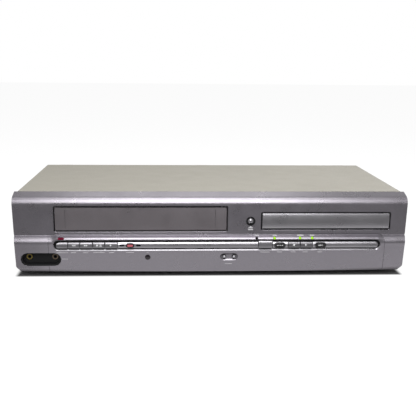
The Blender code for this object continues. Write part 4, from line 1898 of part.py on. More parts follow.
def make_tray_front():
    bottom = TRAY_OPEN_BOTTOM + PANEL_MARGIN
    top = TRAY_OPEN_TOP - PANEL_MARGIN
    steps = 6
    face = []
    for step in range(steps + 1):
        share = 2 * step / steps - 1
        height = bottom + (top - bottom) * step / steps
        face.append((upper_face_y(height) - TRAY_FACE_CROWN * (1 - share * share), height))
    back = TRAY_FRONT - SEAT_GAP
    left = TRAY_OPEN_LEFT + PANEL_MARGIN
    right = TRAY_OPEN_RIGHT - PANEL_MARGIN
    panel = prism("X", face + [(back, top), (back, bottom)], left, right)
    as_part(panel, "tray_front", SILVER, (LOADER_X, back, bottom))


def make_loader_frame():
    """The moulded tray frame: floor, side walls with ledges and hold-down tabs, gear pins and legs."""
    left = LOADER_X - LOADER_OUTER
    right = LOADER_X + LOADER_OUTER
    frame = block((left, LOADER_FRONT, LOADER_BASE_BOTTOM), (right, LOADER_BACK, LOADER_BASE_TOP))
    well = block(
        (LOADER_X - WELL_HALF_WIDTH, WELL_FRONT, LOADER_BASE_BOTTOM - CUT_OVERRUN),
        (LOADER_X + WELL_HALF_WIDTH, WELL_BACK, LOADER_BASE_TOP + CUT_OVERRUN),
    )
    cut(frame, well)
    ledge_top = TRAY_RAIL_BOTTOM - SEAT_GAP
    tab_bottom = TRAY_RAIL_BOTTOM + TRAY_RAIL + SEAT_GAP
    for side in (-1, 1):
        wall = sorted((LOADER_X + side * LOADER_INNER, LOADER_X + side * LOADER_OUTER))
        low = (wall[0], LOADER_FRONT, LOADER_BASE_BOTTOM)
        join(frame, block(low, (wall[1], LOADER_BACK, LOADER_WALL_TOP)))
        into = LOADER_X + side * (LOADER_INNER + JOIN_DEPTH)
        ledge = sorted((into, LOADER_X + side * (LOADER_INNER - LEDGE_REACH)))
        low = (ledge[0], LOADER_FRONT + LOADER_WALL, ledge_top - LEDGE_THICKNESS)
        join(frame, block(low, (ledge[1], LOADER_BACK - LOADER_WALL, ledge_top)))
        tab = sorted((into, LOADER_X + side * (LOADER_INNER - TAB_REACH)))
        for y in TAB_Y:
            low = (tab[0], y - TAB_LENGTH / 2, tab_bottom)
            join(frame, block(low, (tab[1], y + TAB_LENGTH / 2, tab_bottom + TAB_THICKNESS)))
        leg = sorted((LOADER_X + side * LOADER_OUTER, LOADER_X + side * (LOADER_OUTER - LEG_SIZE)))
        for y in (LEG_FRONT_Y, LEG_BACK_Y):
            low = (leg[0], y - LEG_SIZE / 2, PAN_TOP + SEAT_GAP)
            join(frame, block(low, (leg[1], y + LEG_SIZE / 2, LOADER_BASE_BOTTOM + JOIN_DEPTH)))
    for x in (DRIVE_X, PULLEY_X):
        start = (x, DRIVE_Y, LOADER_BASE_TOP - JOIN_DEPTH)
        join(frame, rod(start, (x, DRIVE_Y, GEAR_TOP - SEAT_GAP), GEAR_PIN_RADIUS, TINY_SIDES))
    shaft = (LOADER_MOTOR_X, LOADER_MOTOR_Y)
    low = (*shaft, LOADER_BASE_BOTTOM - CUT_OVERRUN)
    cut(frame, rod(low, (*shaft, LOADER_BASE_TOP + CUT_OVERRUN), MOTOR_HOLE_RADIUS))
    as_part(frame, "loader_frame", BLACK)


def make_loader_gears():
    """Drive gear in mesh with the tray's rack, and the pulley gear that the motor's belt turns."""
    drive_outline = gear_outline(DRIVE_TEETH, (DRIVE_X, DRIVE_Y), math.pi + math.pi / DRIVE_TEETH)
    drive = prism("Z", drive_outline, GEAR_BOTTOM, GEAR_TOP)
    foot = LOADER_BASE_TOP + SEAT_GAP
    join(drive, rod((DRIVE_X, DRIVE_Y, foot), (DRIVE_X, DRIVE_Y, GEAR_BOTTOM + JOIN_DEPTH), GEAR_HUB_RADIUS))
    through = (DRIVE_X, DRIVE_Y, foot - CUT_OVERRUN)
    cut(drive, rod(through, (DRIVE_X, DRIVE_Y, GEAR_TOP + CUT_OVERRUN), GEAR_BORE, TINY_SIDES))
    as_part(drive, "drive_gear", WHITE, (DRIVE_X, DRIVE_Y, GEAR_BOTTOM))
    meshed = math.pi + math.pi / PINION_TEETH * (1 if drive_faces_with_tooth() else 0)
    pulley_outline = gear_outline(PINION_TEETH, (PULLEY_X, DRIVE_Y), meshed)
    pulley = prism("Z", pulley_outline, PULLEY_TOP - JOIN_DEPTH, GEAR_TOP)
    join(pulley, rod((PULLEY_X, DRIVE_Y, foot), (PULLEY_X, DRIVE_Y, PULLEY_TOP), PULLEY_RADIUS, ROUND_SIDES))
    through = (PULLEY_X, DRIVE_Y, foot - CUT_OVERRUN)
    cut(pulley, rod(through, (PULLEY_X, DRIVE_Y, GEAR_TOP + CUT_OVERRUN), GEAR_BORE, TINY_SIDES))
    as_part(pulley, "pulley_gear", WHITE, (PULLEY_X, DRIVE_Y, GEAR_BOTTOM))


def drive_faces_with_tooth():
    """Whether the drive gear points a tooth, and not a gap, at the pulley gear."""
    turns = (0 - (math.pi + math.pi / DRIVE_TEETH)) / (math.tau / DRIVE_TEETH)
    return abs(turns - round(turns)) < 0.25


def make_loader_motor():
    x = LOADER_MOTOR_X
    y = LOADER_MOTOR_Y
    top = LOADER_BASE_BOTTOM - SEAT_GAP
    profile = [
        (0, PULLEY_TOP),
        (MOTOR_PULLEY_RADIUS, PULLEY_TOP),
        (MOTOR_PULLEY_RADIUS, PULLEY_BOTTOM),
        (MOTOR_SHAFT_RADIUS, PULLEY_BOTTOM),
        (MOTOR_SHAFT_RADIUS, top),
        (LOADER_MOTOR_RADIUS, top),
        (LOADER_MOTOR_RADIUS, top - LOADER_MOTOR_LENGTH),
        (0, top - LOADER_MOTOR_LENGTH),
    ]
    as_part(turned((x, y, 0), profile, 16), "loader_motor", STEEL)


def belt_loop(extra):
    """A belt's path round both pulleys, a given distance outside them."""
    large = Vector((PULLEY_X, DRIVE_Y))
    small = Vector((LOADER_MOTOR_X, LOADER_MOTOR_Y))
    span = small - large
    heading = math.degrees(math.atan2(span.y, span.x))
    wrap = math.degrees(math.acos((PULLEY_RADIUS - MOTOR_PULLEY_RADIUS) / span.length))
    return arc(small, MOTOR_PULLEY_RADIUS + extra, heading - wrap, heading + wrap, 5) + arc(
        large, PULLEY_RADIUS + extra, heading + wrap, heading + 360 - wrap, 10
    )


def make_belt():
    inner = SEAT_GAP + SEAT_GAP
    loops = [belt_loop(inner + BELT_THICKNESS), belt_loop(inner)]
    as_part(drawn("Z", loops, BELT_BOTTOM, BELT_TOP), "loader_belt", RUBBER)


def make_clamp():
    bridge_top = BRIDGE_BOTTOM + BRIDGE_THICKNESS
    ends = LOADER_OUTER
    low_y = DISC_Y - BRIDGE_HALF_LENGTH
    high_y = DISC_Y + BRIDGE_HALF_LENGTH
    bridge = block((LOADER_X - ends, low_y, BRIDGE_BOTTOM), (LOADER_X + ends, high_y, bridge_top))
    for side in (-1, 1):
        foot = sorted((LOADER_X + side * ends, LOADER_X + side * (ends - LOADER_WALL)))
        low = (foot[0], low_y, LOADER_WALL_TOP + SEAT_GAP)
        join(bridge, block(low, (foot[1], high_y, BRIDGE_BOTTOM + JOIN_DEPTH)))
    hole = PUCK_NECK_RADIUS + PUCK_HOLE_GAP
    hub = (LOADER_X, DISC_Y)
    cut(bridge, rod((*hub, BRIDGE_BOTTOM - CUT_OVERRUN), (*hub, bridge_top + CUT_OVERRUN), hole, 16))
    as_part(bridge, "clamp_bridge", STEEL)
    flange_bottom = bridge_top + SEAT_GAP
    profile = [
        (0, flange_bottom + PUCK_FLANGE),
        (PUCK_FLANGE_RADIUS, flange_bottom + PUCK_FLANGE),
        (PUCK_FLANGE_RADIUS, flange_bottom),
        (PUCK_NECK_RADIUS, flange_bottom),
        (PUCK_NECK_RADIUS, PUCK_BOTTOM + PUCK_PLATE),
        (PUCK_RADIUS, PUCK_BOTTOM + PUCK_PLATE),
        (PUCK_RADIUS, PUCK_BOTTOM),
        (0, PUCK_BOTTOM),
    ]
    as_part(turned((*hub, 0), profile, 16), "clamp_puck", BLACK)


def make_traverse():
    """The plate under the tray: spindle motor can, rods for the pickup and the lugs that hold them."""
    gap = SLIDE_GAP
    left = LOADER_X - WELL_HALF_WIDTH + gap
    right = LOADER_X + WELL_HALF_WIDTH - gap
    plate = block((left, WELL_FRONT + gap, LOADER_BASE_BOTTOM), (right, WELL_BACK - gap, LOADER_BASE_TOP))
    inner = WELL_HALF_WIDTH - TRAVERSE_RIM
    low = (LOADER_X - inner, SLED_WELL_FRONT, LOADER_BASE_BOTTOM - CUT_OVERRUN)
    cut(plate, block(low, (LOADER_X + inner, SLED_WELL_BACK, LOADER_BASE_TOP + CUT_OVERRUN)))
    hub = (LOADER_X, DISC_Y)
    start = (*hub, LOADER_BASE_TOP - JOIN_DEPTH)
    join(plate, rod(start, (*hub, SPINDLE_CAN_TOP), SPINDLE_CAN_RADIUS, 16))
    lug_front = SLED_WELL_FRONT - ROD_LUG
    lug_back = SLED_WELL_BACK
    for side in (-1, 1):
        x = LOADER_X + side * ROD_X
        for y in (lug_front, lug_back):
            low = (x - ROD_LUG_HALF, y, LOADER_BASE_TOP - JOIN_DEPTH)
            join(plate, block(low, (x + ROD_LUG_HALF, y + ROD_LUG, ROD_HEIGHT + ROD_LUG_HALF)))
        start = (x, lug_front + ROD_LUG / 2, ROD_HEIGHT)
        join(plate, rod(start, (x, lug_back + ROD_LUG / 2, ROD_HEIGHT), ROD_RADIUS, 8))
    as_part(plate, "traverse_frame", STEEL)


def make_pickup():
    """The laser pickup sled, hooked over both rods, with its lens under the tray's slot."""
    low = (LOADER_X - SLED_HALF_WIDTH, SLED_Y - SLED_HALF_LENGTH, SLED_BOTTOM)
    sled = block(low, (LOADER_X + SLED_HALF_WIDTH, SLED_Y + SLED_HALF_LENGTH, SLED_TOP))
    reach = ROD_X + ROD_LUG_HALF
    arm_bottom = LOADER_BASE_TOP + SEAT_GAP
    low = (LOADER_X - reach, SLED_Y - SLED_ARM_HALF, arm_bottom)
    join(sled, block(low, (LOADER_X + reach, SLED_Y + SLED_ARM_HALF, SLED_TOP - JOIN_DEPTH)))
    bore = ROD_RADIUS + SEAT_GAP
    for side in (-1, 1):
        x = LOADER_X + side * ROD_X
        low = (x - bore, SLED_Y - SLED_ARM_HALF - CUT_OVERRUN, ROD_HEIGHT - bore)
        high = (x + bore, SLED_Y + SLED_ARM_HALF + CUT_OVERRUN, ROD_HEIGHT + bore)
        cut(sled, block(low, high))
    lens_y = SLED_Y + LENS_OFFSET
    start = (LOADER_X, lens_y, SLED_TOP - JOIN_DEPTH)
    join(sled, rod(start, (LOADER_X, lens_y, LENS_TOP), LENS_RADIUS))
    as_part(sled, "pickup_sled", BLACK, (LOADER_X, SLED_Y, SLED_BOTTOM))


def make_turntable():
    seat_bottom = TURNTABLE_SEAT - TURNTABLE_THICKNESS
    profile = [
        (0, CONE_TOP),
        (CONE_TOP_RADIUS, CONE_TOP),
        (CONE_RADIUS, TURNTABLE_SEAT),
        (TURNTABLE_RADIUS, TURNTABLE_SEAT),
        (TURNTABLE_RADIUS, seat_bottom),
        (TURNTABLE_NECK, seat_bottom),
        (TURNTABLE_NECK, SPINDLE_CAN_TOP + SEAT_GAP),
        (0, SPINDLE_CAN_TOP + SEAT_GAP),
    ]
    as_part(turned((LOADER_X, DISC_Y, 0), profile, 16), "turntable", BLACK)


make_front_panel()
make_fascia()
make_button_bar()
make_bar_buttons()
make_round_buttons()
make_windows()
make_front_jacks()
make_switch_board()
make_cassette_door()
make_foot_set()
make_chassis()
make_top_cover()
make_rear_panel()
make_cord_grommet()
make_main_board()
make_rear_jacks()
make_tuner()
make_deck_chassis()
make_loading_frame()
make_holder_slider()
make_cassette_holder()
make_reels()
make_drum()
make_capstan()
make_pinch_roller()
make_tape_guides()
make_disc_tray()
make_tray_front()
make_loader_frame()
make_loader_gears()
make_loader_motor()
make_belt()
make_clamp()
make_traverse()
make_pickup()
make_turntable()
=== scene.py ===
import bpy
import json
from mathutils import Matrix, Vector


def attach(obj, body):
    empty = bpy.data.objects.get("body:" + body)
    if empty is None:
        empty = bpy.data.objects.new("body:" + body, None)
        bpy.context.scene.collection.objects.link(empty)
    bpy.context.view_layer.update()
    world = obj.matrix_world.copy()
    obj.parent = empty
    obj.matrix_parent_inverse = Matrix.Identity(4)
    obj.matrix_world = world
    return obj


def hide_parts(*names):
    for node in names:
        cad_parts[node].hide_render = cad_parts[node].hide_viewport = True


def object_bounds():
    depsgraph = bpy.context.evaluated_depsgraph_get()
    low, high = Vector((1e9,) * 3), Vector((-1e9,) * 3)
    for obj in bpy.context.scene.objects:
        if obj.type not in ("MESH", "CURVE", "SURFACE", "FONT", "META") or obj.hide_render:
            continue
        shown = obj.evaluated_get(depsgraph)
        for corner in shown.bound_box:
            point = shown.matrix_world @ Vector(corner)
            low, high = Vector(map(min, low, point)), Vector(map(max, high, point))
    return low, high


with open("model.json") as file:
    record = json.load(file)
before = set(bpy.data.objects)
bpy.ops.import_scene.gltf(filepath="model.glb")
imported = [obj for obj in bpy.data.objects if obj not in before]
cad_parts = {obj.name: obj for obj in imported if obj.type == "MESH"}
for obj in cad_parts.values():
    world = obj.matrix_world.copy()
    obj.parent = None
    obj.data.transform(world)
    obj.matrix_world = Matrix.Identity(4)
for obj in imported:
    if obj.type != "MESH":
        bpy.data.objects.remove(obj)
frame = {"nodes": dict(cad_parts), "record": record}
cad_box = [list(corner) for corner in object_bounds()]

import json
import math

import bmesh
import bpy
from mathutils import Matrix, Vector
from mathutils.bvhtree import BVHTree

MM = 0.001
SCENE = bpy.context.scene
NODES = frame["nodes"]
BODIES = frame["record"]["behaviour"]["bodies"]
BODY_OF = {node: body for body, nodes in BODIES.items() for node in nodes}
SLOT_OF = {part["node"]: part["material_slot"] for part in frame["record"]["subparts"]}


def placed(name, data):
    """A new object in the scene that holds the data."""
    made = bpy.data.objects.new(name, data)
    SCENE.collection.objects.link(made)
    return made


# Shader nodes


def fed(node, sockets):
    """Gives a node's inputs, by name or place, their values or other nodes' outputs."""
    for socket, value in sockets.items():
        if isinstance(value, bpy.types.NodeSocket):
            node.id_data.links.new(value, node.inputs[socket])
        else:
            node.inputs[socket].default_value = value
    return node


def worked(tree, kind, operation, *values):
    """A new maths node with its values in the order of its inputs."""
    node = tree.nodes.new(kind)
    node.operation = operation
    return fed(node, dict(enumerate(values)))


def ranged(tree, value, span, interpolation="LINEAR"):
    """Maps a value from one range to another; the span is both of them, each from low to high."""
    node = tree.nodes.new("ShaderNodeMapRange")
    node.interpolation_type = interpolation
    ends = dict(zip(("From Min", "From Max", "To Min", "To Max"), span))
    return fed(node, {"Value": value, **ends}).outputs["Result"]


def coordinates(tree, kind="Object"):
    return tree.nodes.new("ShaderNodeTexCoord").outputs[kind]


def blank_material(name):
    """A material with nothing in it but its output."""
    made = bpy.data.materials.new(name)
    made.use_nodes = True
    made.node_tree.nodes.clear()
    return made, made.node_tree, made.node_tree.nodes.new("ShaderNodeOutputMaterial")


# Materials

MIX_FACTOR, MIX_FIRST, MIX_SECOND, MIX_COLOUR = 0, 6, 7, 2
NOISE_SPAN = (0.3, 0.7)
CLOUD_SPAN = (0.45, 0.75)
CLOUD_TONE = 0.6
SMUDGE_SCALE = 45.0
GLOSS_SWING = 0.05


def surface(name, colour, rough, metal=0.0, **look):
    """A procedural finish: mottled colour, uneven gloss and fine grain.

    The look can say the mottling's spread and grain, a cloud's scale and depth, the bump's scale
    and height in mm, a stretch of the whole pattern, and a set of the shader's other inputs."""
    made = bpy.data.materials.new(name)
    made.use_nodes = True
    tree = made.node_tree
    place = coordinates(tree)
    if "stretch" in look:
        mapping = tree.nodes.new("ShaderNodeMapping")
        place = fed(mapping, {"Vector": place, "Scale": look["stretch"]}).outputs["Vector"]

    def noise(scale, detail=3.0, roughness=0.55):
        return fed(tree.nodes.new("ShaderNodeTexNoise"), {
            "Vector": place, "Scale": scale, "Detail": detail, "Roughness": roughness,
        }).outputs["Fac"]

    def mixed(amount, first, second):
        node = tree.nodes.new("ShaderNodeMix")
        node.data_type = "RGBA"
        return fed(node, {
            MIX_FACTOR: amount, MIX_FIRST: first, MIX_SECOND: second,
        }).outputs[MIX_COLOUR]

    def toned(level):
        return (*(min(1.0, part * level) for part in colour), 1.0)

    spread = look.get("spread", 0.08)
    mottling = ranged(tree, noise(look.get("grain", 1400.0)), (*NOISE_SPAN, 0.0, 1.0))
    tone = mixed(mottling, toned(1 - spread), toned(1 + spread))
    if "cloud" in look:
        scale, depth = look["cloud"]
        cloud = ranged(tree, noise(scale, 4.0), (*CLOUD_SPAN, 0.0, depth))
        tone = mixed(cloud, tone, toned(CLOUD_TONE))
    gloss = ranged(
        tree, noise(SMUDGE_SCALE, 5.0, 0.6), (*NOISE_SPAN, rough - GLOSS_SWING, rough + GLOSS_SWING)
    )
    scale, height = look.get("bump", (2600.0, 0.02))
    bump = fed(tree.nodes.new("ShaderNodeBump"), {
        "Distance": height * MM, "Height": noise(scale, 2.0),
    })
    fed(tree.nodes["Principled BSDF"], {
        "Metallic": metal, "Base Color": tone, "Roughness": gloss, "Normal": bump.outputs["Normal"],
        **look.get("set", {}),
    })
    return made


SATIN = (2600.0, 0.004)

# One finish for each material slot of the record
FINISH = {
    "front_grey": surface(
        "front_satin_paint", (0.24, 0.225, 0.25), 0.30, 0.8,
        spread=0.10, cloud=(9.0, 0.10), bump=(2600.0, 0.005),
    ),
    "cover_grey": surface(
        "cover_texture_paint", (0.335, 0.317, 0.272), 0.55, 0.25,
        spread=0.14, grain=900.0, bump=(900.0, 0.06), cloud=(7.0, 0.12),
    ),
    "flap_grey": surface(
        "flap_satin_plastic", (0.215, 0.195, 0.208), 0.32, 0.7,
        spread=0.05, cloud=(14.0, 0.08), bump=SATIN,
    ),
    "silver_plastic": surface(
        "silver_satin_plastic", (0.32, 0.31, 0.33), 0.30, 0.9, spread=0.07, bump=SATIN
    ),
    "black_plastic": surface(
        "black_moulded_plastic", (0.008, 0.008, 0.009), 0.55,
        spread=0.2, bump=(1800.0, 0.05), set={"Specular IOR Level": 0.22},
    ),
    "foot_rubber": surface(
        "foot_rubber", (0.022, 0.022, 0.022), 0.75,
        spread=0.25, bump=(2200.0, 0.06), cloud=(60.0, 0.3),
    ),
    "zinc_steel": surface(
        "zinc_plated_steel", (0.56, 0.57, 0.57), 0.36, 0.95,
        spread=0.05, cloud=(40.0, 0.12), grain=500.0,
    ),
    "drum_aluminium": surface(
        "machined_aluminium", (0.74, 0.74, 0.75), 0.22, 1.0, spread=0.04, stretch=(1.0, 1.0, 14.0)
    ),
    "lamp_red": surface("red_lamp_lens", (0.13, 0.002, 0.02), 0.18, spread=0.1),
    "lamp_green": surface(
        "green_lamp_lens", (0.30, 0.62, 0.006), 0.3, spread=0.1,
        set={"Emission Color": (0.33, 0.60, 0.004, 1.0), "Emission Strength": 0.45},
    ),
    "dark_lens": surface("dark_receiver_lens", (0.012, 0.008, 0.012), 0.12, spread=0.2),
    "board_green": surface(
        "board_solder_mask", (0.02, 0.12, 0.05), 0.35, spread=0.25, cloud=(300.0, 0.5)
    ),
    "socket_gold": surface("socket_plating", (0.60, 0.45, 0.16), 0.28, 0.9, spread=0.1),
    "white_plastic": surface("white_moulded_plastic", (0.72, 0.72, 0.69), 0.42, spread=0.04),
    "tray_black": surface(
        "tray_black_plastic", (0.028, 0.028, 0.030), 0.42, spread=0.2, bump=(1500.0, 0.06)
    ),
    "record_red": surface("record_red_plastic", (0.45, 0.10, 0.12), 0.35, spread=0.06),
}
# Keys by group: how bright their paint is, and which they are
KEY_GROUPS = {
    "tape": (0.235, ("power", "rewind", "fast_forward", "stop_eject", "play")),
    "disc": (0.185, ("disc_stop", "disc_play")),
    "source": (0.27, ("source",)),
    "oval": (0.07, ("disc_menu", "disc_skip")),
}
KEY_LOOK = {}
for group, (brightness, keys) in KEY_GROUPS.items():
    paint = surface(
        group + "_key_paint", [tint * brightness for tint in (1.0, 0.97, 1.03)], 0.30, 0.9,
        spread=0.06, bump=SATIN,
    )
    KEY_LOOK.update({"button_" + key: paint for key in keys})
SOCKET_RINGS = {
    "video": surface("video_socket_ring", (0.17, 0.13, 0.035), 0.30, 0.7, spread=0.12),
    "audio": surface("audio_socket_ring", (0.115, 0.085, 0.06), 0.30, 0.7, spread=0.12),
}

# Looks of marks: each is a finish and a material slot's name
PRINT_GRAIN = 4000.0
WHITE_PRINT = (
    surface("white_print", (0.62, 0.62, 0.63), 0.5, grain=PRINT_GRAIN), "white_plastic"
)
SOFT_PRINT = (
    surface("grey_print", (0.47, 0.46, 0.48), 0.5, grain=PRINT_GRAIN), "white_plastic"
)
FAINT_PRINT = (
    surface("faint_print", (0.16, 0.15, 0.165), 0.45, 0.4, grain=PRINT_GRAIN), "silver_plastic"
)
# Black print, which also serves for the bands of painted shade beside gaps
BLACK_PRINT_AND_SHADE = (
    surface(
        "black_print_and_shade", (0.005, 0.005, 0.006), 0.7, spread=0.2, set={"Specular IOR Level": 0.05}
    ), "black_plastic",
)
RED_INLAY = (FINISH["record_red"], "record_red")


# The moulded front's finished form, in mm: forward is -y, and a height is a z

SKIN_SLACK, ROLL_SLACK, CUT_SLACK = 0.06, 0.09, 0.0001

# The frame's own skin: a lower face, a roll over the ridge, a short shoulder and an upper face
RIDGE_BOTTOM, RIDGE_TOP = 34.9, 50.05
RIDGE_Y, LOWER_RUN, LOWER_HEIGHT = -117.0, 4.5, 37.2
ROLL_Y, ROLL_Z, ROLL_RADIUS = -111.0, 43.3, 6.0
SHOULDER_Z, SHOULDER_BACK, SHOULDER_RISE, SHOULDER_FROM = 49.3, 0.2, 0.7, 49.31
UPPER_Y, UPPER_RUN, UPPER_HEIGHT = -112.0, 1.2, 34.19

# The finished ridge above the buttons and beside them, and how the second runs out downwards
MIDDLE_RIDGE = {
    "front": -117.0, "centre": 43.35, "radius": 3.4,
    "slope": math.radians(16), "turn": math.radians(74),
}
END_RIDGE = {
    "front": -116.75, "centre": 39.9, "radius": 7.5,
    "slope": math.radians(20), "turn": math.radians(70),
}
ROLL_OUT, ROLL_OUT_Z, ROLL_OUT_SLOPE = 4.9, 35.0, 0.121

# Where one finished ridge blends into the other, in x, and where the skin is cut to follow them
BLENDS = ((-176.5, -170.5), (186.5, 192.5))
HEIGHT_CUTS = (
    35.0, 36.3, 37.6, 38.9, 40.0, 41.0, 42.0, 43.0, 43.8,
    44.6, 45.3, 46.0, 46.6, 46.95, 47.3, 47.7, 47.95,
)
WIDTH_CUTS = [start + 2.0 * step for start, end in BLENDS for step in range(4)]
UPPER_CUT = 50.5

# The wall close behind the skin moves along and fades out; the corner inside the ridge is set
WALL_BEHIND, WALL_FADE, WALL_TOP = 1.6, 0.8, 49.2
INNER_Z, INNER_Y, INNER_SLACK, INNER_FINISHED_Y = 45.85, -113.55, (0.5, 0.3), -111.7

# The rounded top edge's centre and radii, then its fuller form, drawn down at its lower end
EDGE_Y, EDGE_Z, EDGE_RADII = -105.5, 84.19, (5.6, 6.56)
EDGE_FRONT, EDGE_BOTTOM = -106.0, 84.1
FULL_EDGE_Y, FULL_EDGE_Z, FULL_EDGE_MORE = -103.96, 83.09, 1.5
DRAWN_DOWN, DRAWN_ANGLE = 0.8, math.radians(75)


def lower_face(height):
    """The y of the face that runs back under the ridge."""
    return RIDGE_Y + LOWER_RUN * (ROLL_Z - height) / LOWER_HEIGHT


def upper_face(height):
    """The y of the face between the ridge and the top edge."""
    return UPPER_Y + UPPER_RUN * (EDGE_Z - height) / UPPER_HEIGHT


def rounded_step(height, front, centre, radius, slope, turn):
    """Ridge profile: a slope that runs out of the upper face, then an arc down to the vertical."""
    turn_height = centre + radius * math.sin(turn)
    if height > turn_height:
        out = front + radius * (1 - math.cos(turn)) + (height - turn_height) / math.tan(slope)
        return min(out, upper_face(height))
    return front + radius - math.sqrt(max(0.0, radius ** 2 - max(0.0, height - centre) ** 2))


def middle_profile(height):
    """The finished ridge above the buttons: tight, under a sloping shoulder."""
    if height < MIDDLE_RIDGE["centre"]:
        return lower_face(height)
    return rounded_step(height, **MIDDLE_RIDGE)


def end_profile(height):
    """The finished ridge beside the buttons: a broad, low roll that runs into the lower face."""
    front, centre = END_RIDGE["front"], END_RIDGE["centre"]
    if height >= centre:
        return rounded_step(height, **END_RIDGE)
    share = (centre - height) / ROLL_OUT
    if share > 1:
        return lower_face(height)
    drop = lower_face(ROLL_OUT_Z) - front
    level = front + drop * share * share * (3 - 2 * share)
    return level + ROLL_OUT * ROLL_OUT_SLOPE * share * share * (share - 1)


def ease(value, start, end):
    share = min(1.0, max(0.0, (value - start) / (end - start)))
    return share * share * (3 - 2 * share)


def on_lower_face(at):
    return abs(at.y - lower_face(at.z)) < SKIN_SLACK


def on_ridge(at):
    """True for a point on the frame's own ridge, its shoulder, or the lower face just under it."""
    if not RIDGE_BOTTOM < at.z < RIDGE_TOP:
        return False
    if at.z > SHOULDER_FROM:
        back = SHOULDER_BACK * (at.z - SHOULDER_Z) / SHOULDER_RISE
        return abs(at.y - ROLL_Y - back) < SKIN_SLACK
    if at.z > ROLL_Z:
        return abs(math.hypot(at.y - ROLL_Y, at.z - ROLL_Z) - ROLL_RADIUS) < ROLL_SLACK
    return on_lower_face(at)


def on_skin(corner):
    at = corner.co / MM
    return on_ridge(at) or (at.z < RIDGE_BOTTOM and on_lower_face(at))


def cut(work, faces, axis, place):
    """Cuts faces, their edges and corners across one axis."""
    edges = {edge for face in faces for edge in face.edges}
    corners = {corner for face in faces for corner in face.verts}
    flat = Vector((0, 0, 0))
    flat[axis] = 1
    bmesh.ops.bisect_plane(
        work, geom=[*corners, *edges, *faces], dist=CUT_SLACK * MM,
        plane_co=flat * place * MM, plane_no=flat,
    )


def reshape_ridge(corner, at):
    """Moves a point of the ridge, or of the wall close behind it, to the finished profile."""
    side = 1 - ease(at.x, *BLENDS[0]) + ease(at.x, *BLENDS[1])
    finished_front = (1 - side) * middle_profile(at.z) + side * end_profile(at.z)
    if on_ridge(at):
        corner.co.y = finished_front * MM
        return
    if abs(at.z - INNER_Z) < INNER_SLACK[0] and abs(at.y - INNER_Y) < INNER_SLACK[1]:
        corner.co.y = INNER_FINISHED_Y * MM
        return
    if at.z < ROLL_Z:
        front = lower_face(at.z)
    else:
        front = ROLL_Y - math.sqrt(max(0.0, ROLL_RADIUS ** 2 - (at.z - ROLL_Z) ** 2))
    behind = at.y - front
    if 0 < behind < WALL_BEHIND and at.z < WALL_TOP:
        corner.co.y += (finished_front - front) * min(1.0, (WALL_BEHIND - behind) / WALL_FADE) * MM


def reshape_top_edge(corner, at):
    """Moves a point of the front's rounded top edge out to a fuller rounding."""
    arm = Vector((0, at.y - EDGE_Y, at.z - EDGE_Z))
    low, high = EDGE_RADII
    if low < arm.length < high and at.y < EDGE_FRONT and at.z > EDGE_BOTTOM:
        reach = (arm.length + FULL_EDGE_MORE) / arm.length
        share = min(1.0, math.atan2(arm.z, -arm.y) / DRAWN_ANGLE)
        corner.co.y = (FULL_EDGE_Y + arm.y * reach) * MM
        corner.co.z = (FULL_EDGE_Z + arm.z * reach - DRAWN_DOWN * (1 - share) ** 2) * MM


def reshape_front(work):
    """Gives the moulded front its finished ridge and a fuller rounded top edge."""
    for axis, places in ((2, HEIGHT_CUTS), (0, WIDTH_CUTS)):
        for place in places:
            faces = [face for face in work.faces if all(on_skin(corner) for corner in face.verts)]
            cut(work, faces, axis, place)
    cut(work, work.faces[:], 2, UPPER_CUT)
    for corner in work.verts:
        at = corner.co / MM
        if RIDGE_BOTTOM < at.z < RIDGE_TOP:
            reshape_ridge(corner, at)
        reshape_top_edge(corner, at)


# Pieces made from the fixed frame's own shapes

WELD = 0.002
FLAT_ANGLE = math.radians(0.4)
SHARP_ANGLE = math.radians(32)
RESHAPED = ("front_panel", "control_fascia")
DRESSED = {}


def settle(piece):
    """Turns a piece's modifiers into its mesh."""
    seen = piece.evaluated_get(bpy.context.evaluated_depsgraph_get())
    mesh = bpy.data.meshes.new_from_object(seen)
    piece.modifiers.clear()
    piece.data = mesh


def finished(node, bevel):
    """The node's own shape, welded, with rounded edges and smooth shading, in place of the node."""
    work = bmesh.new()
    work.from_mesh(NODES[node].data)
    bmesh.ops.remove_doubles(work, verts=work.verts, dist=WELD * MM)
    bmesh.ops.dissolve_limit(work, angle_limit=FLAT_ANGLE, verts=work.verts, edges=work.edges)
    mesh = bpy.data.meshes.new(node + "_finish")
    work.to_mesh(mesh)
    work.free()
    piece = placed(node + "_finish", mesh)
    mesh.shade_smooth()
    if bevel:
        rounding = piece.modifiers.new("rounding", "BEVEL")
        rounding.width = bevel * MM
        rounding.segments = 2
        rounding.limit_method = "ANGLE"
        rounding.angle_limit = SHARP_ANGLE
        rounding.use_clamp_overlap = True
        rounding.miter_outer = "MITER_SHARP"
    else:
        mesh.set_sharp_from_angle(angle=SHARP_ANGLE)
    if node in RESHAPED:
        settle(piece)
        work = bmesh.new()
        work.from_mesh(piece.data)
        reshape_front(work)
        work.to_mesh(piece.data)
        work.free()
    even = piece.modifiers.new("even", "WEIGHTED_NORMAL")
    even.keep_sharp = True
    settle(piece)
    piece.data.materials.clear()
    piece.data.materials.append(KEY_LOOK.get(node, FINISH[SLOT_OF[node]]))
    for place, (finish, *tests) in enumerate(OTHER_LOOK.get(node, ()), 1):
        piece.data.materials.append(finish)
        for face in piece.data.polygons:
            if any(holds(face.center / MM, face.normal) for holds in tests):
                face.material_index = place
    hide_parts(node)
    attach(piece, BODY_OF[node])
    DRESSED[node] = piece


# Faces that show another finish than their piece's own; a test takes a place in mm and a normal

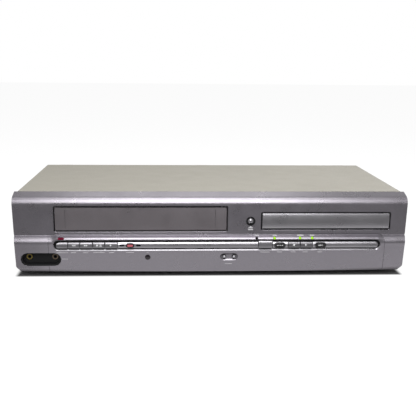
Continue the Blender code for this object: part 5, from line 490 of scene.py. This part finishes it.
# Left, right, bottom and top of the two openings, and other places on the front and the rear
FLAP_OPENING = (-174.0, 17.0, 51.6, 80.2)
TRAY_OPENING = (55.3, 200.3, 53.5, 73.2)
FRONT_DEPTH = -95.5
CHANNEL_LEFT, CHANNEL_RIGHT, CHANNEL_Z, CHANNEL_REACH = -169.3, 184.2, 38.1, 5.5
CHANNEL_DEPTH = -114.5
RIGHT_BEVEL = 185.5
CHAMFER_BOTTOM, CHAMFER_LEFT, CHAMFER_RIGHT = 30.5, -178, 192
JACK_LEFT, JACK_RIGHT, JACK_BOTTOM, JACK_TOP = -211.8, -166.2, 13.2, 28.8
BARREL_FROM, BARREL_REACH = 109.2, 4.5

# Normals by their y, which is -1 where a face is square on to the viewer
SQUARE_ON = -0.97
PAINTED_FACE = -0.96
PAINTED_EDGE = -0.35
SLOPE = 0.3


def slopes_up(facing):
    return facing.z > SLOPE and facing.y < -SLOPE


def frame_of(left, right, bottom, top, edge=0.35):
    """An opening's walls and rounded edge, in black: the unpainted plastic, and also painted shade
    deep in the gap.
    """
    return lambda at, facing: (
        left - edge < at.x < right + edge and bottom - edge < at.z < top + edge
        and at.y < FRONT_DEPTH and facing.y > SQUARE_ON and not slopes_up(facing)
    )


def pit(x, z, reach, floor):
    """A round sinking: its walls, and what lies deeper than the given floor."""
    return lambda at, facing: (
        math.hypot(at.x - x, at.z - z) < reach and at.y < FRONT_DEPTH
        and (at.y > floor or facing.y > SQUARE_ON)
    )


# Black here is the channel's moulding and also painted shade in its gaps; the right end is left
# grey.
def channel_wall(at, facing):
    """The channel's walls and floor, but neither the chamfer under the bar nor the right bevel."""
    along = min(CHANNEL_RIGHT, max(CHANNEL_LEFT, at.x))
    if math.hypot(at.x - along, at.z - CHANNEL_Z) > CHANNEL_REACH:
        return False
    if at.z < RIDGE_BOTTOM and slopes_up(facing):
        return False
    if at.x > RIGHT_BEVEL and facing.x < -0.2 and facing.y < -SLOPE:
        return False
    return at.y > CHANNEL_DEPTH or facing.y > SQUARE_ON


# The chamfer under the bar gets the lighter silver paint: a painted highlight along its edge.
def painted_highlight_under_bar(at, facing):
    inside = CHAMFER_LEFT < at.x < CHAMFER_RIGHT and CHAMFER_BOTTOM < at.z < RIDGE_BOTTOM
    return inside and slopes_up(facing)


def in_jack_wall(at, facing):
    inside = JACK_LEFT < at.x < JACK_RIGHT and JACK_BOTTOM < at.z < JACK_TOP
    return inside and abs(facing.y) < 0.9


# Black sides and edges of keys, tray front and door: their unpainted moulding, and also painted
# shade in the gaps between parts.
def sides_and_underside(at, facing):
    return facing.y > PAINTED_EDGE or (facing.z < -SLOPE and facing.y > PAINTED_FACE)


def sides_and_edges(at, facing):
    return facing.y > PAINTED_FACE


def everywhere(at, facing):
    return True


def barrels(places):
    """The coloured sleeves of the rear sockets at some places."""
    return lambda at, facing: at.y > BARREL_FROM and any(
        math.hypot(at.x - x, at.z - z) < BARREL_REACH for x, z in places
    )


# Rear sockets by their plastic's colour, as x and z; two more stay black
REAR_SOCKETS = {
    "yellow": ((0.62, 0.42, 0.02), ((-100.0, 60.0),)),
    "white": ((0.66, 0.66, 0.63), ((-78.0, 60.0), (-78.0, 36.0), (-34.0, 36.0))),
    "red": ((0.50, 0.02, 0.02), ((-56.0, 60.0), (-56.0, 36.0), (-12.0, 36.0), (10.0, 60.0))),
    "green": ((0.03, 0.28, 0.07), ((-34.0, 60.0),)),
    "blue": ((0.02, 0.07, 0.40), ((-12.0, 60.0),)),
    "orange": ((0.60, 0.17, 0.01), ((33.0, 36.0),)),
}
BLACK_SOCKETS = [(-100.0, 36.0), (10.0, 36.0)]
BLACK = FINISH["black_plastic"]
OTHER_LOOK = {
    "front_panel": [(
        BLACK, frame_of(*FLAP_OPENING), frame_of(*TRAY_OPENING), pit(43.2, 63.4, 5.6, -111.0),
        in_jack_wall,
    )],
    "control_fascia": [
        (BLACK, channel_wall, *(pit(x, 23.4, 3.0, -112.9) for x in (13.9, 24.7)), in_jack_wall),
        (FINISH["silver_plastic"], painted_highlight_under_bar),
    ],
    "cassette_door": [(BLACK, sides_and_edges)],
    "indicator_light_guide": [(FINISH["dark_lens"], lambda at, facing: at.x < 52.5)],
    "button_record": [(BLACK, everywhere)],
    "front_jack_sockets": [(BLACK, everywhere)],
    "rear_jack_block": [
        (surface(name + "_socket_plastic", colour, 0.4, spread=0.06), barrels(places))
        for name, (colour, places) in REAR_SOCKETS.items()
    ],
}
for node in NODES:
    if node == "tray_front" or node.startswith("button_"):
        OTHER_LOOK.setdefault(node, [(BLACK, sides_and_underside)])

# Widths of the rounded edges, in mm
ROUNDED = {
    **dict.fromkeys(("front_panel", "control_fascia", "cassette_door", "button_record"), 0.25),
    **dict.fromkeys(KEY_LOOK, 0.25),
    "button_source": 0.3, "button_bar": 0.2, "tray_front": 0.6, "disc_tray": 0.2,
    "top_cover": 0.15, "rear_panel": 0.1, "chassis_base": 0.1,
}
for node in NODES:
    finished(node, ROUNDED.get(node, 0.0))


# Marks, screws and linings, seated on the finished surfaces

SIDES = {
    "front": (lambda u, v: Vector((u, -200, v)), Vector((0, 1, 0))),
    "rear": (lambda u, v: Vector((u, 200, v)), Vector((0, -1, 0))),
    "under": (lambda u, v: Vector((u, v, -100)), Vector((0, 0, 1))),
    "left": (lambda u, v: Vector((-400, u, v)), Vector((1, 0, 0))),
    "right": (lambda u, v: Vector((400, u, v)), Vector((-1, 0, 0))),
}
SKINS = {}
ADDED_SHARP_ANGLE = math.radians(35)


def touched(name, node, side, u, v):
    """Where a finished node is met from a side, in m."""
    if node not in SKINS:
        mesh = DRESSED[node].data
        SKINS[node] = BVHTree.FromPolygons(
            [corner.co for corner in mesh.vertices], [face.vertices[:] for face in mesh.polygons]
        )
    start, way = SIDES[side]
    hit = SKINS[node].ray_cast(start(u, v) * MM, way)[0]
    if hit is None:
        raise ValueError(f"{name} misses {node} at {u:.2f}, {v:.2f}")
    return hit


def added(name, work, finish, body):
    """Makes a new piece from built faces, in its finish, riding on a body."""
    bmesh.ops.recalc_face_normals(work, faces=work.faces)
    mesh = bpy.data.meshes.new(name)
    work.to_mesh(mesh)
    work.free()
    mesh.materials.append(finish)
    piece = placed(name, mesh)
    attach(piece, body)
    return piece


def smoothed(piece):
    piece.data.shade_smooth()
    piece.data.set_sharp_from_angle(angle=ADDED_SHARP_ANGLE)


def bridge(work, first, second):
    """Joins two closed rows of points with faces."""
    for place in range(len(first)):
        after = (place + 1) % len(first)
        work.faces.new((first[place], first[after], second[after], second[place]))


def laid(name, node, patches, look, lift=0.04, side="front"):
    """Thin marks on a finished node; each patch is one outline, or a pair of them for a ring."""
    finish, slot = look
    way = SIDES[side][1]
    work = bmesh.new()

    def seated(u, v, height):
        return work.verts.new(touched(name, node, side, u, v) - way * height * MM)

    for loops in patches:
        near, far = (
            [[seated(u, v, height) for u, v in loop] for loop in loops] for height in (lift, -lift)
        )
        for layer in (near, far):
            if len(loops) == 1:
                work.faces.new(layer[0])
            else:
                bridge(work, *layer)
        for front, back in zip(near, far):
            bridge(work, front, back)
    added(name, work, finish, BODY_OF[node])


def circle(radius, steps):
    turns = [math.tau * step / steps for step in range(steps)]
    return [(radius * math.cos(turn), radius * math.sin(turn)) for turn in turns]


# A screw head's seat is found beside its hole; the dome's rows are shares of radius and height
BESIDE_HOLE = 2.4
CROSS_HALF_WIDE, CROSS_HALF_LONG, CROSS_FLOOR = 0.34, 1.45, 0.35
DOME = ((1.0, -0.1), (1.0, 0.4), (0.93, 0.72), (0.78, 0.95))
SCREW_STEPS, LINING_STEPS = 20, 16


def screws(name, node, places, side, radius=2.9, height=1.3):
    """Domed heads with a cross recess over a node's holes, seated as high as the metal beside."""
    start, way = SIDES[side]
    across = (start(1, 0) - start(0, 0)).normalized()
    up = (start(0, 1) - start(0, 0)).normalized()
    thin, long = CROSS_HALF_WIDE, CROSS_HALF_LONG
    cross = [
        (c * a - s * b, s * a + c * b)
        for c, s in ((1, 0), (0, 1), (-1, 0), (0, -1))
        for a, b in ((long, -thin), (long, thin), (thin, thin))
    ]
    work = bmesh.new()
    for u, v in places:
        seat = touched(name, node, side, u + BESIDE_HOLE, v) / MM
        seat = seat - (start(u + BESIDE_HOLE, v) - start(u, v))

        def row(points, rise):
            return [
                work.verts.new((seat + across * a + up * b - way * rise) * MM) for a, b in points
            ]

        rows = [row(circle(radius * reach, SCREW_STEPS), height * rise) for reach, rise in DOME]
        mouth, cross_floor = row(cross, height), row(cross, height * CROSS_FLOOR)
        for first, second in zip(rows, rows[1:]):
            bridge(work, first, second)
        bridge(work, mouth, cross_floor)
        work.faces.new(rows[0])
        work.faces.new(cross_floor)
        edges = []
        for loop in (rows[-1], mouth):
            edges += [work.edges.get((loop[place - 1], loop[place])) for place in range(len(loop))]
        bmesh.ops.triangle_fill(work, use_beauty=True, edges=edges)
    smoothed(added(name, work, FINISH["zinc_steel"], BODY_OF[node]))


def linings(name, places, reach, outer, inner, depth):
    """Plated sleeves that line the mouths of sockets in the rear block."""
    work = bmesh.new()
    for x, z in places:
        rows = [
            [
                work.verts.new(Vector((x + a, y, z + b)) * MM)
                for a, b in circle(radius, LINING_STEPS)
            ] for radius, y in (
                (outer, reach), (inner, reach), (inner, reach - depth), (outer, reach - depth)
            )
        ]
        for place, row in enumerate(rows):
            bridge(work, rows[place - 1], row)
    smoothed(added(name, work, FINISH["socket_gold"], "case"))


# Outlines of marks, in mm

EJECT_BAR, EJECT_FOOT = 0.26, 1.8


def stadium(x, z, half_wide, half_high, turns=9):
    """A bar with round ends, or a circle where both halves are the same."""
    points = []
    straight = half_wide - half_high
    for way in (1, -1):
        for step in range(turns):
            angle = math.pi * (step / (turns - 1) - 0.5)
            points.append((
                x + way * (straight + half_high * math.cos(angle)),
                z + way * half_high * math.sin(angle),
            ))
    if half_wide == half_high:
        del points[turns], points[0]
    return points


def bar(left, right, low, high):
    return [(left, low), (right, low), (right, high), (left, high)]


def box_round(left, right, low, high, radius, steps=4):
    """A rectangle with round corners."""
    points = []
    for x, z, first in ((right, high, 0), (left, high, 1), (left, low, 2), (right, low, 3)):
        x += radius if x == left else -radius
        z += radius if z == low else -radius
        for step in range(steps + 1):
            angle = (first + step / steps) * math.pi / 2
            points.append((x + radius * math.cos(angle), z + radius * math.sin(angle)))
    return points


def arrow(x, z, half_long, half_high, way):
    """A triangle that points along x."""
    foot, tip = x - way * half_long, x + way * half_long
    return [(foot, z - half_high), (tip, z), (foot, z + half_high)]


def eject(x, z, half_wide, height):
    """A triangle that points up over a bar; height is the whole mark's."""
    left, right, bottom = x - half_wide, x + half_wide, z - height / 2
    thick = height * EJECT_BAR
    foot = bottom + thick * EJECT_FOOT
    return [
        [bar(left, right, bottom, bottom + thick)],
        [[(left, foot), (right, foot), (x, z + height / 2)]],
    ]


MARK_Z = 37.4
DISC_MARK_Z = 37.0


def stop(x):
    return [bar(x - 1.0, x + 1.0, MARK_Z - 1.0, MARK_Z + 1.0)]


KEY_MARKS = {
    "button_rewind": [[arrow(x, MARK_Z, 1.0, 1.1, -1)] for x in (-153.7, -151.7)],
    "button_fast_forward": [[arrow(x, MARK_Z, 1.0, 1.1, 1)] for x in (-140.3, -138.3)],
    "button_stop_eject": [stop(-127.0), *eject(-123.2, MARK_Z, 1.3, 2.3)],
    "button_play": [[arrow(-111.9, MARK_Z, 1.1, 1.25, 1)]],
    "button_disc_stop": [stop(91.8)],
    "button_disc_play": [[arrow(105.5, MARK_Z, 1.1, 1.25, 1)]],
    "button_disc_menu": [[stadium(x, DISC_MARK_Z, 0.9, 0.35)] for x in (73.6, 76.2, 78.8)],
    "button_disc_skip": [
        *([arrow(x, DISC_MARK_Z, 0.9, 0.95, 1)] for x in (120.4, 122.2)),
        [bar(123.2, 123.7, 36.05, 37.95)],
    ],
}
for node, patches in KEY_MARKS.items():
    laid(node + "_mark", node, patches, WHITE_PRINT)
laid("power_mark", "button_power", [
    [stadium(-166.9, 37.3, radius, radius) for radius in (1.75, 1.4)],
    [bar(-167.1, -166.7, 37.5, 39.6)],
], FAINT_PRINT)
laid("record_inlay", "button_record", [[stadium(-90.7, 37.1, 3.3, 1.25)]],
     RED_INLAY, 0.06)
for node, x in (("button_disc_menu", 76.0), ("button_disc_skip", 121.7)):
    laid(node + "_rim", "button_bar", [
        [stadium(x, 37.1, 6.6, 3.2), stadium(x, 37.1, 6.32, 2.82)],
    ], BLACK_PRINT_AND_SHADE)
laid("bar_dashes", "button_bar", [[stadium(x, 37.2, 2.7, 1.05)] for x in (-99.9, -81.5)],
     BLACK_PRINT_AND_SHADE)

KEY_LABELS = (
    (-172.0, -158.9), (-155.6, -150.2), (-142.5, -137.0), (-131.5, -118.4), (-114.0, -108.5),
    (-95.3, -86.5), (54.4, 64.8), (72.9, 78.5), (88.6, 93.8), (101.9, 107.5), (118.4, 123.7),
)
LAMP_LABELS = ((48.1, 52.6), (68.3, 72.7), (95.5, 102.9), (110.2, 115.0))
laid("label_dashes", "control_fascia", [
    *([bar(left, right, 28.75, 29.45)] for left, right in KEY_LABELS),
    [bar(14.8, 22.8, 15.0, 15.7)], [bar(-166.0, -159.4, 21.2, 21.9)],
    [bar(-72.3, -70.6, 28.8, 29.5)],
    *([bar(left, right, 47.2, 47.9)] for left, right in LAMP_LABELS),
], SOFT_PRINT)


def painted_gap_shade_of(opening, wide, under):
    """A rectangle round an opening, out by one width, and by another at the bottom, for a ring of
    painted shade beside the gap.
    """
    left, right, low, high = opening
    return box_round(left - wide, right + wide, low - under, high + wide, 1.2 + wide)


# Black rings laid on the painted front round both openings: painted shade that widens their dark
# gaps.
for name, opening in (("flap_gap_painted_shade", FLAP_OPENING), ("tray_gap_painted_shade", TRAY_OPENING)):
    laid(name, "front_panel", [
        [painted_gap_shade_of(opening, wide, under) for wide, under in ((0.95, 0.27), (0.2, 0.25))],
    ], BLACK_PRINT_AND_SHADE, 0.06)
# Black bands on the door's rim and along the tray front's bottom edge: painted shade of the gaps
# round them.
flap_left, flap_right, flap_low, flap_high = FLAP_OPENING
laid("flap_rim_painted_shade", "cassette_door", [[
    box_round(flap_left + wide, flap_right - wide, flap_low + under, flap_high - wide, 0.8)
    for wide, under in ((1.13, 1.13), (1.35, 1.9))
]], BLACK_PRINT_AND_SHADE)
laid("tray_bottom_painted_shade", "tray_front", [[bar(56.9, 198.7, 55.0, 55.35)]], BLACK_PRINT_AND_SHADE)
# A black band along the channel's top edge: painted shade under the ridge.
laid("channel_top_painted_shade", "control_fascia", [[bar(-161.0, 183.0, 43.66, 44.05)]],
     BLACK_PRINT_AND_SHADE, 0.01)
for name, x in (("video", -203.0), ("audio", -174.6)):
    laid(name + "_socket_ring", "front_jack_sockets", [
        [stadium(x, 22.3, radius, radius, 15) for radius in (3.35, 2.0)],
    ], (SOCKET_RINGS[name], "socket_gold"), 0.3)
screws("cover_rear_screws", "top_cover", [(x, 88.3) for x in (-190.0, -3.0, 190.0)], "rear")
for side in ("left", "right"):
    places = [(y, 20.0) for y in (-52.0, 68.0)]
    screws("cover_screws_" + side, "top_cover", places, side, radius=3.4, height=1.5)
screws("rear_panel_screws", "rear_panel", [
    (-205.0, 16.0), (-3.0, 16.0), (160.0, 16.0), (-118.0, 49.0), (52.0, 49.0), (-159.0, 72.0),
], "rear")
screws("base_screws", "chassis_base", [
    (-200.0, -60.0), (200.0, -60.0), (-200.0, 60.0), (200.0, 60.0), (0.0, 98.0),
], "under")
linings("rear_socket_linings", [
    *(place for colour, places in REAR_SOCKETS.values() for place in places), *BLACK_SOCKETS,
], reach=116.95, outer=1.58, inner=1.3, depth=3.0)
SOCKET_COLUMNS = (-100.0, -78.0, -56.0, -34.0, -12.0, 10.0, 33.0)
laid("rear_dashes", "rear_panel", [
    *([bar(x - 4.5, x + 4.5, 77.0, 78.0)] for x in SOCKET_COLUMNS),
    *([bar(-165.0, -153.0, low, low + 1.0)] for low in (45.5, 22.5)),
], BLACK_PRINT_AND_SHADE, 0.03, "rear")
laid("tray_mark", "front_panel", eject(43.1, 55.7, 2.9, 4.6), SOFT_PRINT)


# Floor, light and camera

# The floor's white lift fades out at a box just inside the object's footprint; the dim floor left
# under the object is painted shadow, over the real one.
FLOOR_REACH = 6
FLOOR_TONE = (0.12, 0.12, 0.12, 1.0)
FLOOR_LIFT = (0.0, 0.006, 0.0, 0.92)
PAINTED_SHADOW_INSETS = (0.004, 0.0115)
PAINTED_SHADOW_BOX = (cad_box[1][0] - PAINTED_SHADOW_INSETS[0], -cad_box[0][1] - PAINTED_SHADOW_INSETS[1], 0.0)
WORLD_LIGHT = 0.35
SKY_SHADE = (0.0, 0.8, 1.0, 0.40)
CARD_REACH = 1.4


def stage_plane(name, corners, look):
    mesh = bpy.data.meshes.new(name)
    mesh.from_pydata(corners, [], [(0, 1, 2, 3)])
    plane = placed(name, mesh)
    mesh.materials.append(look)
    return plane


def seen_ray(tree):
    """One for camera, glossy and transmission rays, and nothing for the light on the object."""
    path = tree.nodes.new("ShaderNodeLightPath")
    total = path.outputs["Is Camera Ray"]
    for kind in ("Is Glossy Ray", "Is Transmission Ray"):
        total = worked(tree, "ShaderNodeMath", "MAXIMUM", total, path.outputs[kind]).outputs[0]
    return total


def floor_finish():
    """Pale floor: white to the camera and in reflections, left dim in a box under the object as
    painted shadow.
    """
    made, tree, out = blank_material("pale_floor")
    kind = "ShaderNodeVectorMath"
    off_centre = worked(tree, kind, "ABSOLUTE", coordinates(tree)).outputs[0]
    outside = worked(tree, kind, "SUBTRACT", off_centre, PAINTED_SHADOW_BOX).outputs[0]
    reach = worked(tree, kind, "MAXIMUM", outside, (0.0, 0.0, 0.0)).outputs[0]
    distance = worked(tree, kind, "LENGTH", reach).outputs["Value"]
    fade = ranged(tree, distance, FLOOR_LIFT, "SMOOTHSTEP")
    strength = worked(tree, "ShaderNodeMath", "MULTIPLY", seen_ray(tree), fade).outputs[0]
    lift = fed(tree.nodes.new("ShaderNodeEmission"), {"Strength": strength})
    diffuse = fed(tree.nodes.new("ShaderNodeBsdfDiffuse"), {"Color": FLOOR_TONE})
    both = fed(tree.nodes.new("ShaderNodeAddShader"), {0: diffuse.outputs[0], 1: lift.outputs[0]})
    fed(out, {"Surface": both.outputs[0]})
    return made


def softbox(name, place, target, size, power):
    lamp = bpy.data.lights.new(name, "AREA")
    lamp.shape = "RECTANGLE"
    lamp.size, lamp.size_y = size
    lamp.energy = power
    holder = placed(name, lamp)
    holder.location = place
    aim = Vector(target) - Vector(place)
    holder.rotation_euler = aim.to_track_quat("-Z", "Y").to_euler()


def flag(name, start, end, **spans):
    """A grey card that only reflections see, as a studio sets beside the lens to shape gloss.

    It reaches across the stage from one y and z to another. Its level is a product: along each
    named axis it changes from one place and level to another."""
    look, tree, out = blank_material(name + "_card")
    place = fed(tree.nodes.new("ShaderNodeSeparateXYZ"), {0: coordinates(tree)})
    level = 1.0
    for axis, span in spans.items():
        change = ranged(tree, place.outputs[axis], span)
        level = worked(tree, "ShaderNodeMath", "MULTIPLY", level, change).outputs[0]
    glow = fed(tree.nodes.new("ShaderNodeEmission"), {"Strength": level})
    fed(out, {"Surface": glow.outputs[0]})
    card = stage_plane(name, [
        (-CARD_REACH, *start), (CARD_REACH, *start), (CARD_REACH, *end), (-CARD_REACH, *end),
    ], look)
    card.visible_camera = False
    card.visible_shadow = False
    card.visible_diffuse = False


stage_plane("floor", [
    (-FLOOR_REACH, -FLOOR_REACH, 0), (FLOOR_REACH, -FLOOR_REACH, 0),
    (FLOOR_REACH, FLOOR_REACH, 0), (-FLOOR_REACH, FLOOR_REACH, 0),
], floor_finish())

world = bpy.data.worlds.new("studio")
SCENE.world = world
world.use_nodes = True
tree = world.node_tree
split = fed(tree.nodes.new("ShaderNodeSeparateXYZ"), {0: coordinates(tree, "Generated")})
sky = ranged(tree, split.outputs["Z"], SKY_SHADE)
camera_ray = tree.nodes.new("ShaderNodeLightPath").outputs["Is Camera Ray"]
seen_sky = worked(tree, "ShaderNodeMath", "MAXIMUM", camera_ray, sky).outputs[0]
fed(tree.nodes["Background"], {
    "Color": (1.0, 1.0, 1.0, 1.0),
    "Strength": ranged(tree, seen_ray(tree), (0.0, 1.0, WORLD_LIGHT, seen_sky)),
})

softbox("key", (0.0, -1.15, 0.78), (0.0, -0.1, 0.08), (0.75, 1.04), 18.0)
softbox("top", (0.0, -0.42, 1.30), (0.0, -0.1, 0.08), (0.70, 0.85), 8.0)
softbox("overhead", (0.1, 0.05, 1.5), (0.05, 0.0, 0.05), (1.4, 1.0), 1.5)
softbox("back", (0.0, 0.75, 1.1), (0.0, -0.1, 0.09), (0.7, 0.3), 1.4)

flag("front_flag", (-1.4, 0.0), (-1.4, 1.0), Z=(0.0, 1.0, 0.175, 0.24))
flag("back_flag", (1.0, 0.0), (1.0, 0.9), X=(-0.35, 0.45, 0.45, 1.25), Z=(0.15, 0.35, 0.75, 1.0))
flag("floor_flag", (-1.4, 0.002), (-0.20, 0.002),
     Y=(-0.55, -0.2, 0.175, 0.215), X=(-0.25, -0.17, 0.7, 1.0))
# A card only reflections see, lying just in front of the object, dimmer towards it and at its left
# end: painted shade of the floor there.
flag("near_floor_painted_shade", (-0.1995, 0.0015), (-0.1175, 0.0015),
     X=(-0.203, -0.185, 0.62, 1.0), Y=(-0.1995, -0.13, 0.97, 0.90))

CAMERA_PLACE = Vector((-0.04525, -0.9094, 0.2420))
CAMERA_YAW = math.radians(2.913)
CAMERA_PITCH = math.radians(11.559)
CAMERA_ROLL = math.radians(0.556)
FOCAL_LENGTH, SENSOR_WIDTH = 63.81, 36.0
lens = bpy.data.cameras.new("camera")
lens.lens = FOCAL_LENGTH
lens.sensor_width = SENSOR_WIDTH
lens.clip_start = 0.02
camera = placed("camera", lens)
forward = Vector((
    math.sin(CAMERA_YAW) * math.cos(CAMERA_PITCH),
    math.cos(CAMERA_YAW) * math.cos(CAMERA_PITCH),
    -math.sin(CAMERA_PITCH),
))
level = Vector((math.cos(CAMERA_YAW), -math.sin(CAMERA_YAW), 0.0))
upright = level.cross(forward)
right = math.cos(CAMERA_ROLL) * level + math.sin(CAMERA_ROLL) * upright
top = -math.sin(CAMERA_ROLL) * level + math.cos(CAMERA_ROLL) * upright
turned = Matrix((right, top, -forward)).transposed().to_4x4()
camera.matrix_world = Matrix.Translation(CAMERA_PLACE) @ turned
SCENE.camera = camera
SCENE.view_settings.view_transform = "Standard"
